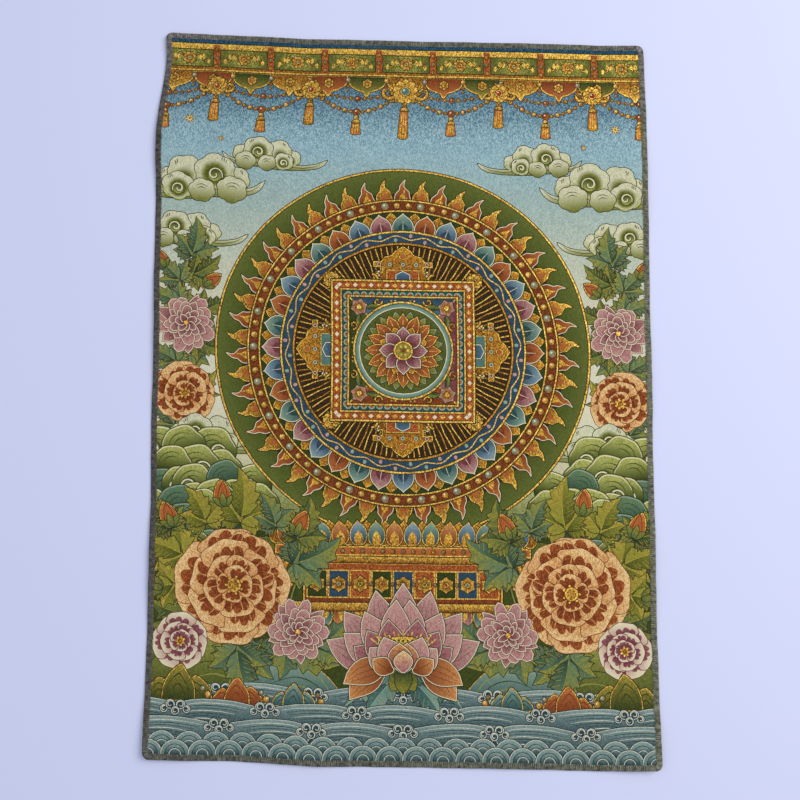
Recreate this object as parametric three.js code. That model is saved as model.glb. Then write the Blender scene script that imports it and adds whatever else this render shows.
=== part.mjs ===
// A woven brocade picture panel with an overlocked edge, lying face up on a flat surface.
// Millimetres, +Z up. The picture's top edge points along +Y, its left edge lies towards -X.
// The panel is one piece of cloth: its edge is trimmed and whipped over with thread, with no
// hem, lining, sleeve or rods. The sheet keeps the slightly uneven outline of a hand-trimmed
// edge and the low ripples in which it lies.
import * as THREE from 'three';

const CLOTH_T = 1.2;        // thickness of the brocade with the floats on its back
const EDGE_T = 1.9;         // thickness over the whipped edge
const RIM_T = 0.9;          // height of the rounded rim at the very edge
const RIM_LIFT = 0.35;      // the rim's underside stands this far off the surface
const CORNER_R = 7;         // rounding of the four corners
const CELL = 30;            // size of a facet cell in the field

// Stations across the edge band: distance in from the rim, top height and underside lift there.
const EDGE_BAND = [
  { inset: 0.0,  top: RIM_LIFT + RIM_T, lift: RIM_LIFT },
  { inset: 1.4,  top: EDGE_T,           lift: 0 },
  { inset: 5.4,  top: EDGE_T,           lift: 0 },
  { inset: 7.6,  top: 1.4,              lift: 0 },
  { inset: 11.0, top: CLOTH_T,          lift: 0 },
  { inset: 24.0, top: CLOTH_T,          lift: 0 },
];

// The trimmed outline, side by side: where each side passes at a given place along it.
const LEFT_SIDE = [
  { y: 443.3, x: -303.4 }, { y: 409.0, x: -302.5 }, { y: 370.0, x: -306.8 },
  { y: 317.0, x: -311.4 }, { y: 253.0, x: -309.6 }, { y: 164.0, x: -308.0 },
  { y: 65.0, x: -304.8 },  { y: -45.0, x: -303.4 }, { y: -140.0, x: -300.8 },
  { y: -234.0, x: -298.9 }, { y: -326.0, x: -298.8 }, { y: -436.0, x: -297.6 },
];
const RIGHT_SIDE = [
  { y: 436.3, x: 297.3 }, { y: 406.0, x: 298.9 }, { y: 312.0, x: 300.3 },
  { y: -14.0, x: 300.2 }, { y: -123.0, x: 300.7 }, { y: -242.0, x: 300.4 },
  { y: -368.0, x: 301.8 }, { y: -446.1, x: 302.9 },
];
const TOP_SIDE = [
  { x: -303.4, y: 443.3 }, { x: -225.0, y: 441.4 }, { x: -136.0, y: 438.9 },
  { x: -10.0, y: 438.6 }, { x: 117.0, y: 437.7 }, { x: 244.0, y: 436.5 }, { x: 297.3, y: 436.3 },
];
const BOTTOM_SIDE = [
  { x: -297.6, y: -436.0 }, { x: -232.0, y: -438.8 }, { x: -163.0, y: -440.3 },
  { x: -82.0, y: -444.3 }, { x: 80.0, y: -445.1 }, { x: 232.0, y: -447.4 }, { x: 302.9, y: -446.1 },
];

// Low ripples in the lying cloth. Each is a smooth mound: where it peaks, how far it reaches
// along its own long and short direction, how that long direction is turned from +X, its rise.
const RIPPLES = [
  { name: 'corner, top left',      x: -303, y: 443,  along: 105, across: 62, turn: 40,  rise: 2.6 },
  { name: 'left side, upper',      x: -311, y: 300,  along: 92,  across: 60, turn: 80,  rise: 3.0 },
  { name: 'left side, middle',     x: -305, y: 70,   along: 118, across: 60, turn: 96,  rise: 2.2 },
  { name: 'left side, lower',      x: -299, y: -215, along: 98,  across: 66, turn: 84,  rise: 2.8 },
  { name: 'corner, bottom left',   x: -298, y: -436, along: 118, across: 78, turn: -45, rise: 5.2 },
  { name: 'bottom, left of middle',x: -120, y: -444, along: 88,  across: 60, turn: 4,   rise: 2.4 },
  { name: 'bottom, right of middle',x: 118, y: -446, along: 96,  across: 60, turn: -3,  rise: 2.0 },
  { name: 'corner, bottom right',  x: 303,  y: -446, along: 124, across: 82, turn: 45,  rise: 5.6 },
  { name: 'right side, lower',     x: 301,  y: -225, along: 96,  across: 64, turn: 92,  rise: 2.6 },
  { name: 'right side, middle',    x: 300,  y: 25,   along: 110, across: 60, turn: 88,  rise: 2.4 },
  { name: 'right side, upper',     x: 300,  y: 255,  along: 90,  across: 60, turn: 98,  rise: 2.9 },
  { name: 'corner, top right',     x: 297,  y: 436,  along: 84,  across: 60, turn: -42, rise: 1.8 },
  { name: 'top, left part',        x: -178, y: 440,  along: 80,  across: 60, turn: -5,  rise: 2.0 },
  { name: 'top, right part',       x: 176,  y: 437,  along: 84,  across: 60, turn: 3,   rise: 2.1 },
  { name: 'field, upper left',     x: -165, y: 215,  along: 150, across: 84, turn: 62,  rise: 1.2 },
  { name: 'field, right',          x: 168,  y: 95,   along: 165, across: 80, turn: 104, rise: 1.1 },
  { name: 'field, lower left',     x: -150, y: -205, along: 150, across: 86, turn: 118, rise: 1.3 },
  { name: 'field, lower right',    x: 158,  y: -285, along: 140, across: 82, turn: 58,  rise: 1.2 },
];

// A smooth curve through the rows of a side table: value at place p, by its named columns.
function sideValue(rows, at, out, p) {
  const r = [...rows].sort((a, b) => a[at] - b[at]);
  const n = r.length;
  const slope = (i) => {
    const a = r[Math.max(i - 1, 0)], b = r[Math.min(i + 1, n - 1)];
    return (b[out] - a[out]) / (b[at] - a[at]);
  };
  if (p <= r[0][at]) return r[0][out];
  if (p >= r[n - 1][at]) return r[n - 1][out];
  let i = 0;
  while (p > r[i + 1][at]) i++;
  const h = r[i + 1][at] - r[i][at], t = (p - r[i][at]) / h;
  const t2 = t * t, t3 = t2 * t;
  return r[i][out] * (2 * t3 - 3 * t2 + 1) + slope(i) * h * (t3 - 2 * t2 + t)
    + r[i + 1][out] * (3 * t2 - 2 * t3) + slope(i + 1) * h * (t3 - t2);
}

const CORNER = {
  bl: { x: -297.6, y: -436.0 }, br: { x: 302.9, y: -446.1 },
  tl: { x: -303.4, y: 443.3 },  tr: { x: 297.3, y: 436.3 },
};
const mix = (a, b, t) => a + (b - a) * t;

// The place on the flat outline of a point s of the way across and t of the way up.
function place(s, t) {
  const yl = mix(CORNER.bl.y, CORNER.tl.y, t), yr = mix(CORNER.br.y, CORNER.tr.y, t);
  const xb = mix(CORNER.bl.x, CORNER.br.x, s), xt = mix(CORNER.tl.x, CORNER.tr.x, s);
  const left = { x: sideValue(LEFT_SIDE, 'y', 'x', yl), y: yl };
  const right = { x: sideValue(RIGHT_SIDE, 'y', 'x', yr), y: yr };
  const bottom = { x: xb, y: sideValue(BOTTOM_SIDE, 'x', 'y', xb) };
  const top = { x: xt, y: sideValue(TOP_SIDE, 'x', 'y', xt) };
  const blend = (k) => mix(left[k], right[k], s) + mix(bottom[k], top[k], t)
    - mix(mix(CORNER.bl[k], CORNER.br[k], s), mix(CORNER.tl[k], CORNER.tr[k], s), t);
  return { x: blend('x'), y: blend('y') };
}

// Height of the underside over the surface where the cloth lies.
function ripple(x, y) {
  let z = 0;
  for (const r of RIPPLES) {
    const a = r.turn * Math.PI / 180, dx = x - r.x, dy = y - r.y;
    const u = (dx * Math.cos(a) + dy * Math.sin(a)) / r.along;
    const v = (-dx * Math.sin(a) + dy * Math.cos(a)) / r.across;
    const d = Math.hypot(u, v);
    if (d < 1) z += r.rise * Math.cos(d * Math.PI / 2) ** 2;
  }
  return z;
}

// Profile of the edge band at a distance in from the rim.
function band(inset, key) {
  const last = EDGE_BAND[EDGE_BAND.length - 1];
  if (inset >= last.inset) return last[key];
  let i = 0;
  while (inset > EDGE_BAND[i + 1].inset) i++;
  const a = EDGE_BAND[i], b = EDGE_BAND[i + 1];
  return mix(a[key], b[key], (inset - a.inset) / (b.inset - a.inset));
}

// Stations over one direction of the cloth, as distances from its first edge.
function stations(length) {
  const edge = EDGE_BAND.map((r) => r.inset);
  const inner = length - 2 * edge[edge.length - 1];
  const cells = Math.round(inner / CELL);
  const out = [...edge];
  for (let i = 1; i < cells; i++) out.push(edge[edge.length - 1] + inner * i / cells);
  for (const e of [...edge].reverse()) out.push(length - e);
  return out;
}

const WIDTH = CORNER.br.x - CORNER.bl.x, HEIGHT = CORNER.tl.y - CORNER.bl.y;
const across = stations(WIDTH), up = stations(HEIGHT);

// A corner point of the square grid, moved in to the rounded corner.
function rounded(a, b) {
  const fromX = Math.min(a, WIDTH - a), fromY = Math.min(b, HEIGHT - b);
  if (fromX >= CORNER_R || fromY >= CORNER_R) return [a, b];
  const dx = CORNER_R - fromX, dy = CORNER_R - fromY;
  const k = Math.max(dx, dy) / Math.hypot(dx, dy);
  const nx = CORNER_R - dx * k, ny = CORNER_R - dy * k;
  return [a < WIDTH / 2 ? nx : WIDTH - nx, b < HEIGHT / 2 ? ny : HEIGHT - ny];
}

// Top and underside of the sheet at every station, then the closed skin between them.
const topZ = [], underZ = [], flat = [];
for (const b of up) {
  for (const a of across) {
    const inset = Math.min(a, WIDTH - a, b, HEIGHT - b);
    const [ra, rb] = rounded(a, b);
    const p = place(ra / WIDTH, rb / HEIGHT);
    const z = ripple(p.x, p.y);
    flat.push(p);
    underZ.push(z + band(inset, 'lift'));
    topZ.push(z + band(inset, 'top'));
  }
}
const xs = flat.map((p) => p.x), ys = flat.map((p) => p.y);
const midX = (Math.min(...xs) + Math.max(...xs)) / 2, midY = (Math.min(...ys) + Math.max(...ys)) / 2;

const nx = across.length, ny = up.length, count = nx * ny;
const positions = new Float32Array(count * 2 * 3);
flat.forEach((p, i) => {
  positions.set([p.x - midX, p.y - midY, topZ[i]], i * 3);
  positions.set([p.x - midX, p.y - midY, underZ[i]], (count + i) * 3);
});
const index = [];
const quad = (a, b, c, d) => index.push(a, b, c, a, c, d);
for (let j = 0; j < ny - 1; j++) {
  for (let i = 0; i < nx - 1; i++) {
    const a = j * nx + i, b = a + 1, c = b + nx, d = a + nx;
    quad(a, b, c, d);
    quad(count + a, count + d, count + c, count + b);
  }
}
const wall = (a, b) => quad(count + a, count + b, b, a);
for (let i = 0; i < nx - 1; i++) {
  wall(i, i + 1);
  wall((ny - 1) * nx + i + 1, (ny - 1) * nx + i);
}
for (let j = 0; j < ny - 1; j++) {
  wall(j * nx + nx - 1, (j + 1) * nx + nx - 1);
  wall((j + 1) * nx, j * nx);
}

const geometry = new THREE.BufferGeometry();
geometry.setAttribute('position', new THREE.BufferAttribute(positions, 3));
geometry.setIndex(index);
geometry.computeVertexNormals();

const brocade = new THREE.MeshStandardMaterial({ color: 0x77805e, roughness: 0.85, metalness: 0.0 });
const panel = new THREE.Mesh(geometry, brocade);
panel.name = 'thangka_panel';

const group = new THREE.Group();
group.add(panel);
export default group;
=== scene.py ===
# A woven brocade panel lying flat: a jacquard picture in cotton and gold thread, cut square and
# overlocked all round with grey-olive thread. Lengths in the drawing are millimetres.
import math
import random

import bpy
import numpy as np
from mathutils import Matrix, Vector
from mathutils.geometry import delaunay_2d_cdt


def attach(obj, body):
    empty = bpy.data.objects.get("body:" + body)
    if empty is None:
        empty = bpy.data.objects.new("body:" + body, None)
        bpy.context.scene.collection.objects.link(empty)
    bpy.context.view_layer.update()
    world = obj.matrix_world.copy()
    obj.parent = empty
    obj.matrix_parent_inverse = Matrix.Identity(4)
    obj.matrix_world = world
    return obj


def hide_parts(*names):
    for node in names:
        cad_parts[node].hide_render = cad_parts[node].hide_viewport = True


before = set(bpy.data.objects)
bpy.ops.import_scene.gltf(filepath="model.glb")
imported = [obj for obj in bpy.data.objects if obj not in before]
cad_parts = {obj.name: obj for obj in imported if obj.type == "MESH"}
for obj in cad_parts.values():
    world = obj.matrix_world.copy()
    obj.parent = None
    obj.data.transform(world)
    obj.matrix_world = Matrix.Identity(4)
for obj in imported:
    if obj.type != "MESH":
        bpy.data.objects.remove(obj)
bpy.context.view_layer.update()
scene = bpy.context.scene


# ------------------------------------------------------------------ camera, floor and light
def linear(rgb):
    """Linear light from an sRGB colour of 0 to 255."""
    c = np.asarray(rgb, float) / 255
    return np.where(c <= 0.04045, c / 12.92, ((c + 0.055) / 1.055) ** 2.4)


def rgba(rgb, gain=1.0):
    return (*(float(v) for v in np.minimum(linear(rgb) * gain, 1.0)), 1.0)


def add_node(tree, kind, values=None, **props):
    n = tree.nodes.new(kind)
    for k, v in props.items():
        setattr(n, k, v)
    for k, v in (values or {}).items():
        if isinstance(v, bpy.types.NodeSocket):
            tree.links.new(v, n.inputs[k])
        else:
            n.inputs[k].default_value = v
    return n


def maths(tree, op, a, b=None, c=None, clamp=False):
    n = add_node(tree, 'ShaderNodeMath', operation=op, use_clamp=clamp)
    for k, v in enumerate((a, b, c)):
        if v is None:
            continue
        if isinstance(v, bpy.types.NodeSocket):
            tree.links.new(v, n.inputs[k])
        else:
            n.inputs[k].default_value = v
    return n.outputs[0]


def vectors(tree, op, a, b=None):
    n = add_node(tree, 'ShaderNodeVectorMath', operation=op)
    for k, v in enumerate((a, b)):
        if v is None:
            continue
        if isinstance(v, bpy.types.NodeSocket):
            tree.links.new(v, n.inputs[k])
        else:
            n.inputs[k].default_value = v
    return n.outputs[0]


def blend(tree, factor, a, b, how='MIX'):
    n = add_node(tree, 'ShaderNodeMix', data_type='RGBA', blend_type=how)
    for k, v in ((0, factor), (6, a), (7, b)):
        if isinstance(v, bpy.types.NodeSocket):
            tree.links.new(v, n.inputs[k])
        else:
            n.inputs[k].default_value = v
    return n.outputs[2]


def new_material(name):
    m = bpy.data.materials.new(name)
    m.use_nodes = True
    m.node_tree.nodes.clear()
    out = m.node_tree.nodes.new('ShaderNodeOutputMaterial')
    shader = m.node_tree.nodes.new('ShaderNodeBsdfPrincipled')
    m.node_tree.links.new(shader.outputs[0], out.inputs[0])
    return m, m.node_tree, shader


def set_camera():
    cam = bpy.data.cameras.new('camera')
    cam.lens, cam.sensor_width, cam.sensor_fit = 36.9, 36.0, 'HORIZONTAL'
    cam.clip_start, cam.clip_end = 0.02, 60
    obj = bpy.data.objects.new('camera', cam)
    right, up, back = (0.99985, 0.01021, 0.01423), (-0.01156, 0.99508, 0.09839), (-0.01316, -0.09854, 0.99505)
    turn = Matrix([(right[i], up[i], back[i]) for i in range(3)]).to_quaternion()
    obj.matrix_world = Matrix.Translation((-0.01396, -0.11296, 0.9892)) @ turn.to_matrix().to_4x4()
    scene.collection.objects.link(obj)
    scene.camera = obj


def area_light(name, place_at, aim, size, power, colour):
    light = bpy.data.lights.new(name, 'AREA')
    light.shape, light.size, light.size_y = 'RECTANGLE', size[0], size[1]
    light.energy, light.color = power, colour
    obj = bpy.data.objects.new(name, light)
    obj.location = place_at
    obj.rotation_euler = (Vector(aim) - Vector(place_at)).to_track_quat('-Z', 'Y').to_euler()
    scene.collection.objects.link(obj)


def set_stage():
    bpy.ops.mesh.primitive_plane_add(size=14, location=(0, 0, -0.0004))
    floor = bpy.context.object
    floor.name = 'floor'
    mat, tree, shader = new_material('pale_floor')
    shader.inputs['Base Color'].default_value = rgba((221, 225, 249))
    shader.inputs['Roughness'].default_value = 0.85
    shader.inputs['Specular IOR Level'].default_value = 0.15
    floor.data.materials.append(mat)
    world = bpy.data.worlds.new('sky')
    scene.world = world
    world.use_nodes = True
    bg = world.node_tree.nodes['Background']
    bg.inputs['Color'].default_value = (0.80, 0.85, 1.0, 1.0)
    bg.inputs['Strength'].default_value = 0.50
    area_light('key', (2.1, 0.9, 2.1), (0.1, 0.0, 0.0), (2.0, 2.0), 62, (1.0, 0.985, 0.96))
    area_light('fill', (-2.0, -0.2, 2.6), (0.0, 0.0, 0.0), (2.6, 2.6), 14, (0.88, 0.92, 1.0))
    scene.view_settings.view_transform = 'Standard'
    scene.view_settings.look = 'None'


set_camera()
set_stage()


# ------------------------------------------------------------------ drawing in thread
# The picture is drawn as flat shapes in millimetres, later shapes over earlier ones. X runs to
# the right and Y up the picture, from the middle of the panel. Each shape is woven from a pair
# of thread colours, mixed thread by thread, and may pass from one pair to another across it.

class Dye:
    """A pair of thread colours: b shows in the share f of the threads, g is the share of metal thread."""
    def __init__(self, a, b=None, f=0.4, g=0.0):
        self.a = np.array(a, float)
        self.b = np.array(a if b is None else b, float)
        self.f, self.g = f, g

    def flat(self):
        return np.array([*self.a, *self.b, self.f, self.g])


SHAPES = []


def lay(ring, dye, dye2=None, grad=None):
    """Adds one closed shape; grad is ('lin', p, q), ('rad', centre, r0, r1) or ('table', rows)."""
    ring = np.asarray(ring, float)
    if len(ring) < 3:
        return
    SHAPES.append({'ring': ring, 'dye': dye, 'dye2': dye2, 'grad': grad})


def tone(shape, pts):
    """The eight dye values of a shape at each of the given points."""
    d0 = shape['dye']
    if shape['grad'] is None:
        return np.repeat(d0.flat()[None], len(pts), 0)
    kind = shape['grad'][0]
    if kind == 'table':
        rows = shape['grad'][1]
        y = np.array([r['y'] for r in rows][::-1])
        vals = np.array([r['dye'].flat() for r in rows][::-1])
        return np.stack([np.interp(pts[:, 1], y, vals[:, k]) for k in range(8)], 1)
    if kind == 'lin':
        p, q = np.asarray(shape['grad'][1]), np.asarray(shape['grad'][2])
        d = q - p
        t = ((pts - p) @ d) / max(d @ d, 1e-9)
    else:
        c, r0, r1 = np.asarray(shape['grad'][1]), shape['grad'][2], shape['grad'][3]
        t = (np.hypot(*(pts - c).T) - r0) / (r1 - r0)
    t = np.clip(t, 0, 1)[:, None]
    return d0.flat()[None] * (1 - t) + shape['dye2'].flat()[None] * t


def turned(pts, deg):
    a = math.radians(deg)
    c, s = math.cos(a), math.sin(a)
    pts = np.asarray(pts, float)
    return np.stack([pts[..., 0] * c - pts[..., 1] * s, pts[..., 0] * s + pts[..., 1] * c], -1)


def area2(ring):
    x, y = ring[:, 0], ring[:, 1]
    return float(np.sum(x * np.roll(y, -1) - y * np.roll(x, -1)))


def grown(ring, d):
    """The outline moved outwards by d (inwards if negative)."""
    r = np.asarray(ring, float)
    keep = np.hypot(*(r - np.roll(r, 1, 0)).T) > 1e-6
    r = r[keep]
    if area2(r) < 0:
        r = r[::-1]
    e = np.roll(r, -1, 0) - r
    e /= np.maximum(np.hypot(*e.T), 1e-9)[:, None]
    n = np.stack([e[:, 1], -e[:, 0]], 1)
    m = n + np.roll(n, 1, 0)
    k = np.maximum((m * n).sum(1), 0.42)
    return r + m / k[:, None] * d


def bez(p0, p1, p2, p3, n=8, last=True):
    t = np.linspace(0, 1, n + 1)[: None if last else -1][:, None]
    p0, p1, p2, p3 = (np.asarray(p, float) for p in (p0, p1, p2, p3))
    return (1 - t) ** 3 * p0 + 3 * (1 - t) ** 2 * t * p1 + 3 * (1 - t) * t * t * p2 + t ** 3 * p3


def circle(x, y, r, n=20, squash=1.0, turn=0.0):
    a = np.arange(n) * 2 * math.pi / n
    p = turned(np.stack([np.cos(a) * r, np.sin(a) * r * squash], 1), turn)
    return p + [x, y]


def arc(x, y, r, a0, a1, n=12):
    a = np.radians(np.linspace(a0, a1, n))
    return np.stack([x + np.cos(a) * r, y + np.sin(a) * r], 1)


def smooth(pts, n=6, closed=False):
    """A smooth curve through a few points."""
    p = np.asarray(pts, float)
    out = []
    m = len(p)
    for i in range(m if closed else m - 1):
        a = p[(i - 1) % m] if closed or i > 0 else p[0]
        b, c = p[i], p[(i + 1) % m]
        d = p[(i + 2) % m] if closed or i < m - 2 else p[-1]
        for t in np.linspace(0, 1, n, endpoint=False):
            out.append(0.5 * ((2 * b) + (c - a) * t + (2 * a - 5 * b + 4 * c - d) * t * t
                              + (-a + 3 * b - 3 * c + d) * t ** 3))
    if not closed:
        out.append(p[-1])
    return np.array(out)


def ribbon(pts, w0, w1=None, w2=None):
    """The outline of a line with width w0 at its start, w1 midway and w2 at its end."""
    p = np.asarray(pts, float)
    w1 = w0 if w1 is None else w1
    w2 = w0 if w2 is None else w2
    e = np.gradient(p, axis=0)
    e /= np.maximum(np.hypot(*e.T), 1e-9)[:, None]
    n = np.stack([-e[:, 1], e[:, 0]], 1)
    t = np.linspace(0, 1, len(p))
    w = np.where(t < 0.5, w0 + (w1 - w0) * t * 2, w1 + (w2 - w1) * (t * 2 - 1))[:, None] / 2
    start = [p[0] - e[0] * w[0] * 0.8] if w0 > 0.5 else []
    end = [p[-1] + e[-1] * w[-1] * 0.8] if w2 > 0.5 else []
    return np.array([*start, *(p + n * w), *end, *(p - n * w)[::-1]])


class Pen:
    """Draws in a frame of its own: moved, turned, scaled and mirrored."""
    def __init__(self, x=0.0, y=0.0, turn=0.0, scale=1.0, mirror=False, on=None):
        a = math.radians(turn)
        c, s = math.cos(a) * scale, math.sin(a) * scale
        m = np.array([[-c if mirror else c, -s], [-s if mirror else s, c]])
        o = np.array([x, y], float)
        if on is not None:
            o = on.m @ o + on.o
            m = on.m @ m
        self.m, self.o = m, o
        self.k = math.sqrt(abs(np.linalg.det(m)))

    def at(self, pts):
        return np.asarray(pts, float) @ self.m.T + self.o

    def grad(self, g):
        if g is None:
            return None
        if g[0] == 'lin':
            return ('lin', self.at(g[1]), self.at(g[2]))
        return ('rad', self.at(g[1]), g[2] * self.k, g[3] * self.k)

    def fill(self, pts, dye, dye2=None, grad=None):
        lay(self.at(pts), dye, dye2, self.grad(grad))

    def line(self, pts, w, dye, mid=None, end=None):
        """A drawn line; its widths stay in real millimetres."""
        p = self.at(pts)
        lay(ribbon(p, w, mid, end), dye)

    def shape(self, pts, dye, dye2=None, grad=None, line=None, lw=1.1, rim=None, rw=0.8):
        """A filled shape with a line round it, and a second thin rim inside that."""
        p = self.at(pts)
        if line is not None:
            lay(grown(p, lw), line)
        if rim is not None:
            lay(p, rim)
            p = grown(p, -rw)
        lay(p, dye, dye2, self.grad(grad))


def scan(ring, x0, y0, px, nx, ny):
    """Rows of pixels that a ring covers, by its winding: row, first and last pixel of each span."""
    x, y = (ring[:, 0] - x0) / px, (ring[:, 1] - y0) / px
    x2, y2 = np.roll(x, -1), np.roll(y, -1)
    ja = np.clip(np.ceil(np.minimum(y, y2) - .5), 0, ny).astype(int)
    jb = np.clip(np.ceil(np.maximum(y, y2) - .5), 0, ny).astype(int)
    n = jb - ja
    keep = np.nonzero(n > 0)[0]
    if not len(keep):
        return ()
    nk = n[keep]
    rows = np.repeat(ja[keep], nk) + (np.arange(nk.sum()) - np.repeat(np.cumsum(nk) - nk, nk))
    e = np.repeat(keep, nk)
    xs = x[e] + (rows + .5 - y[e]) / (y2[e] - y[e]) * (x2[e] - x[e])
    wind = np.where(y2[e] > y[e], 1, -1)
    order = np.lexsort((xs, rows))
    rows, xs, wind = rows[order], xs[order], wind[order]
    inside = np.nonzero(np.cumsum(wind)[:-1] != 0)[0]
    a = np.clip(np.ceil(xs[inside] - .5), 0, nx).astype(int)
    b = np.clip(np.ceil(xs[inside + 1] - .5), 0, nx).astype(int)
    return zip(rows[inside].tolist(), a.tolist(), b.tolist())


def id_map(x0, y0, px, nx, ny):
    ids = np.full((ny, nx), -1, np.int32)
    for k, s in enumerate(SHAPES):
        for j, a, b in scan(s['ring'], x0, y0, px, nx, ny):
            ids[j, a:b] = k
    return ids

# ------------------------------------------------------------------ the woven picture
# Thread colours, in sRGB 0 to 255: a main thread, the thread mixed in, the share of the second
# thread and the share of metal thread.
LINE = Dye((40, 36, 22), (68, 60, 36), 0.34)
LINE_SOFT = Dye((84, 78, 50), (70, 60, 38), 0.4)
LINE_BLUE = Dye((22, 38, 44), (40, 58, 62), 0.3)
CREAM = Dye((220, 211, 176), (232, 225, 195), 0.4)
OFFWHITE = Dye((212, 210, 180), (190, 191, 154), 0.40)
GOLD = Dye((200, 146, 52), (152, 98, 30), 0.36, 0.9)
GOLD_HI = Dye((232, 190, 92), (200, 148, 52), 0.4, 1.0)
GOLD_LO = Dye((158, 104, 34), (104, 60, 18), 0.42, 0.8)
GOLD_GREEN = Dye((142, 140, 56), (190, 152, 66), 0.44, 0.6)
RUST = Dye((142, 64, 28), (196, 120, 60), 0.34, 0.2)
RUST_HI = Dye((202, 128, 70), (158, 84, 40), 0.42, 0.25)
RUST_LO = Dye((104, 46, 22), (146, 78, 38), 0.32, 0.08)
RED = Dye((154, 58, 34), (126, 40, 24), 0.3)
OLIVE = Dye((78, 87, 32), (104, 108, 48), 0.34)
OLIVE_LO = Dye((44, 54, 20), (64, 74, 30), 0.35)
OLIVE_HI = Dye((132, 136, 58), (160, 158, 80), 0.45)
LEAF = Dye((78, 98, 58), (112, 116, 52), 0.38, 0.1)
LEAF_LO = Dye((34, 52, 32), (62, 74, 36), 0.34)
LEAF_HI = Dye((126, 128, 48), (172, 154, 64), 0.46, 0.3)
MOSS = Dye((126, 128, 44), (160, 150, 60), 0.46, 0.15)
MOSS_LO = Dye((66, 74, 24), (96, 98, 36), 0.40)
SEA = Dye((86, 116, 94), (114, 130, 84), 0.4)
SEA_LO = Dye((38, 66, 56), (60, 84, 54), 0.4)
HATCH = Dye((188, 166, 74), (150, 128, 48), 0.4, 0.45)
TEAL = Dye((74, 110, 104), (94, 128, 116), 0.4)
TEAL_LO = Dye((36, 66, 68), (54, 86, 84), 0.35)
TEAL_HI = Dye((134, 158, 140), (152, 172, 152), 0.4)
BLUE = Dye((78, 106, 126), (102, 130, 146), 0.38)
BLUE_LO = Dye((42, 64, 84), (60, 84, 102), 0.32)
BLUE_HI = Dye((132, 158, 168), (152, 174, 180), 0.4)
WATER = Dye((82, 109, 110), (110, 133, 127), 0.42)
WATER_LO = Dye((36, 58, 64), (62, 83, 86), 0.36)
WATER_HI = Dye((122, 147, 146), (154, 171, 162), 0.42)
FOAM = Dye((210, 209, 192), (168, 174, 164), 0.36)
PINK = Dye((172, 114, 114), (146, 88, 92), 0.4)
PINK_HI = Dye((198, 158, 146), (176, 130, 124), 0.4)
PINK_LO = Dye((120, 62, 70), (96, 46, 54), 0.4)
PEACH = Dye((218, 158, 98), (180, 112, 58), 0.40, 0.12)
PEACH_HI = Dye((236, 205, 150), (206, 154, 96), 0.42, 0.12)
PETAL_LINE = Dye((138, 66, 34), (108, 48, 26), 0.4)
CANOPY = Dye((102, 112, 40), (206, 186, 96), 0.50, 0.6)
BROWN = Dye((46, 33, 20), (70, 50, 28), 0.34)
CLOUD_HEART = Dye((94, 99, 32), (128, 130, 54), 0.4)
CLOUD_GREEN = Dye((178, 180, 104), (146, 150, 72), 0.44)
CLOUD_DARK = Dye((46, 56, 18), (70, 80, 30), 0.4)

# The ground from the top of the picture to its foot.
GROUND = [
    {'y': 440, 'dye': Dye((26, 62, 86), (62, 104, 128), 0.25)},
    {'y': 416, 'dye': Dye((40, 72, 96), (90, 124, 146), 0.32)},
    {'y': 392, 'dye': Dye((46, 80, 104), (106, 138, 156), 0.37)},
    {'y': 362, 'dye': Dye((58, 92, 114), (128, 160, 172), 0.43)},
    {'y': 340, 'dye': Dye((78, 112, 133), (149, 181, 190), 0.47)},
    {'y': 318, 'dye': Dye((106, 142, 158), (166, 196, 204), 0.52)},
    {'y': 290, 'dye': Dye((126, 160, 173), (166, 195, 202), 0.50)},
    {'y': 240, 'dye': Dye((138, 164, 165), (174, 193, 187), 0.48)},
    {'y': 174, 'dye': Dye((168, 180, 164), (198, 205, 188), 0.46)},
    {'y': 118, 'dye': Dye((192, 191, 165), (216, 213, 190), 0.44)},
    {'y': -20, 'dye': Dye((214, 209, 182), (225, 220, 198), 0.42)},
    {'y': -90, 'dye': Dye((194, 191, 152), (212, 207, 175), 0.44)},
    {'y': -135, 'dye': Dye((132, 138, 82), (176, 174, 122), 0.42)},
    {'y': -175, 'dye': Dye((86, 94, 38), (124, 130, 64), 0.38)},
    {'y': -225, 'dye': Dye((58, 68, 22), (78, 86, 34), 0.34)},
    {'y': -440, 'dye': Dye((52, 62, 22), (70, 78, 32), 0.34)},
]


def both(fn, *a, **k):
    """Draws a motif and its mirror image about the picture's upright middle line."""
    fn(Pen(), *a, **k)
    fn(Pen(mirror=True), *a, **k)


# ---- single motifs, each drawn round its own origin, growing along +Y

def pointed(L, W, base=0.12, n=7):
    r = bez((W * base, 0), (W * 0.74, L * 0.14), (W * 0.56, L * 0.76), (0, L), n)
    return np.concatenate([r, (r * [-1, 1])[::-1][1:]])


def rounded_petal(L, W, base=0.1, n=7):
    r = bez((W * base, 0), (W * 0.78, L * 0.1), (W * 0.66, L * 1.04), (0, L), n)
    return np.concatenate([r, (r * [-1, 1])[::-1][1:]])


def ogee(L, W, n=6):
    """A lotus petal: full sides drawn to a small point."""
    r = np.concatenate([
        bez((W * 0.2, 0), (W * 0.58, L * 0.1), (W * 0.62, L * 0.5), (W * 0.36, L * 0.74), n, False),
        bez((W * 0.36, L * 0.74), (W * 0.22, L * 0.86), (W * 0.08, L * 0.88), (0, L), n - 2)])
    return np.concatenate([r, (r * [-1, 1])[::-1][1:]])


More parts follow.
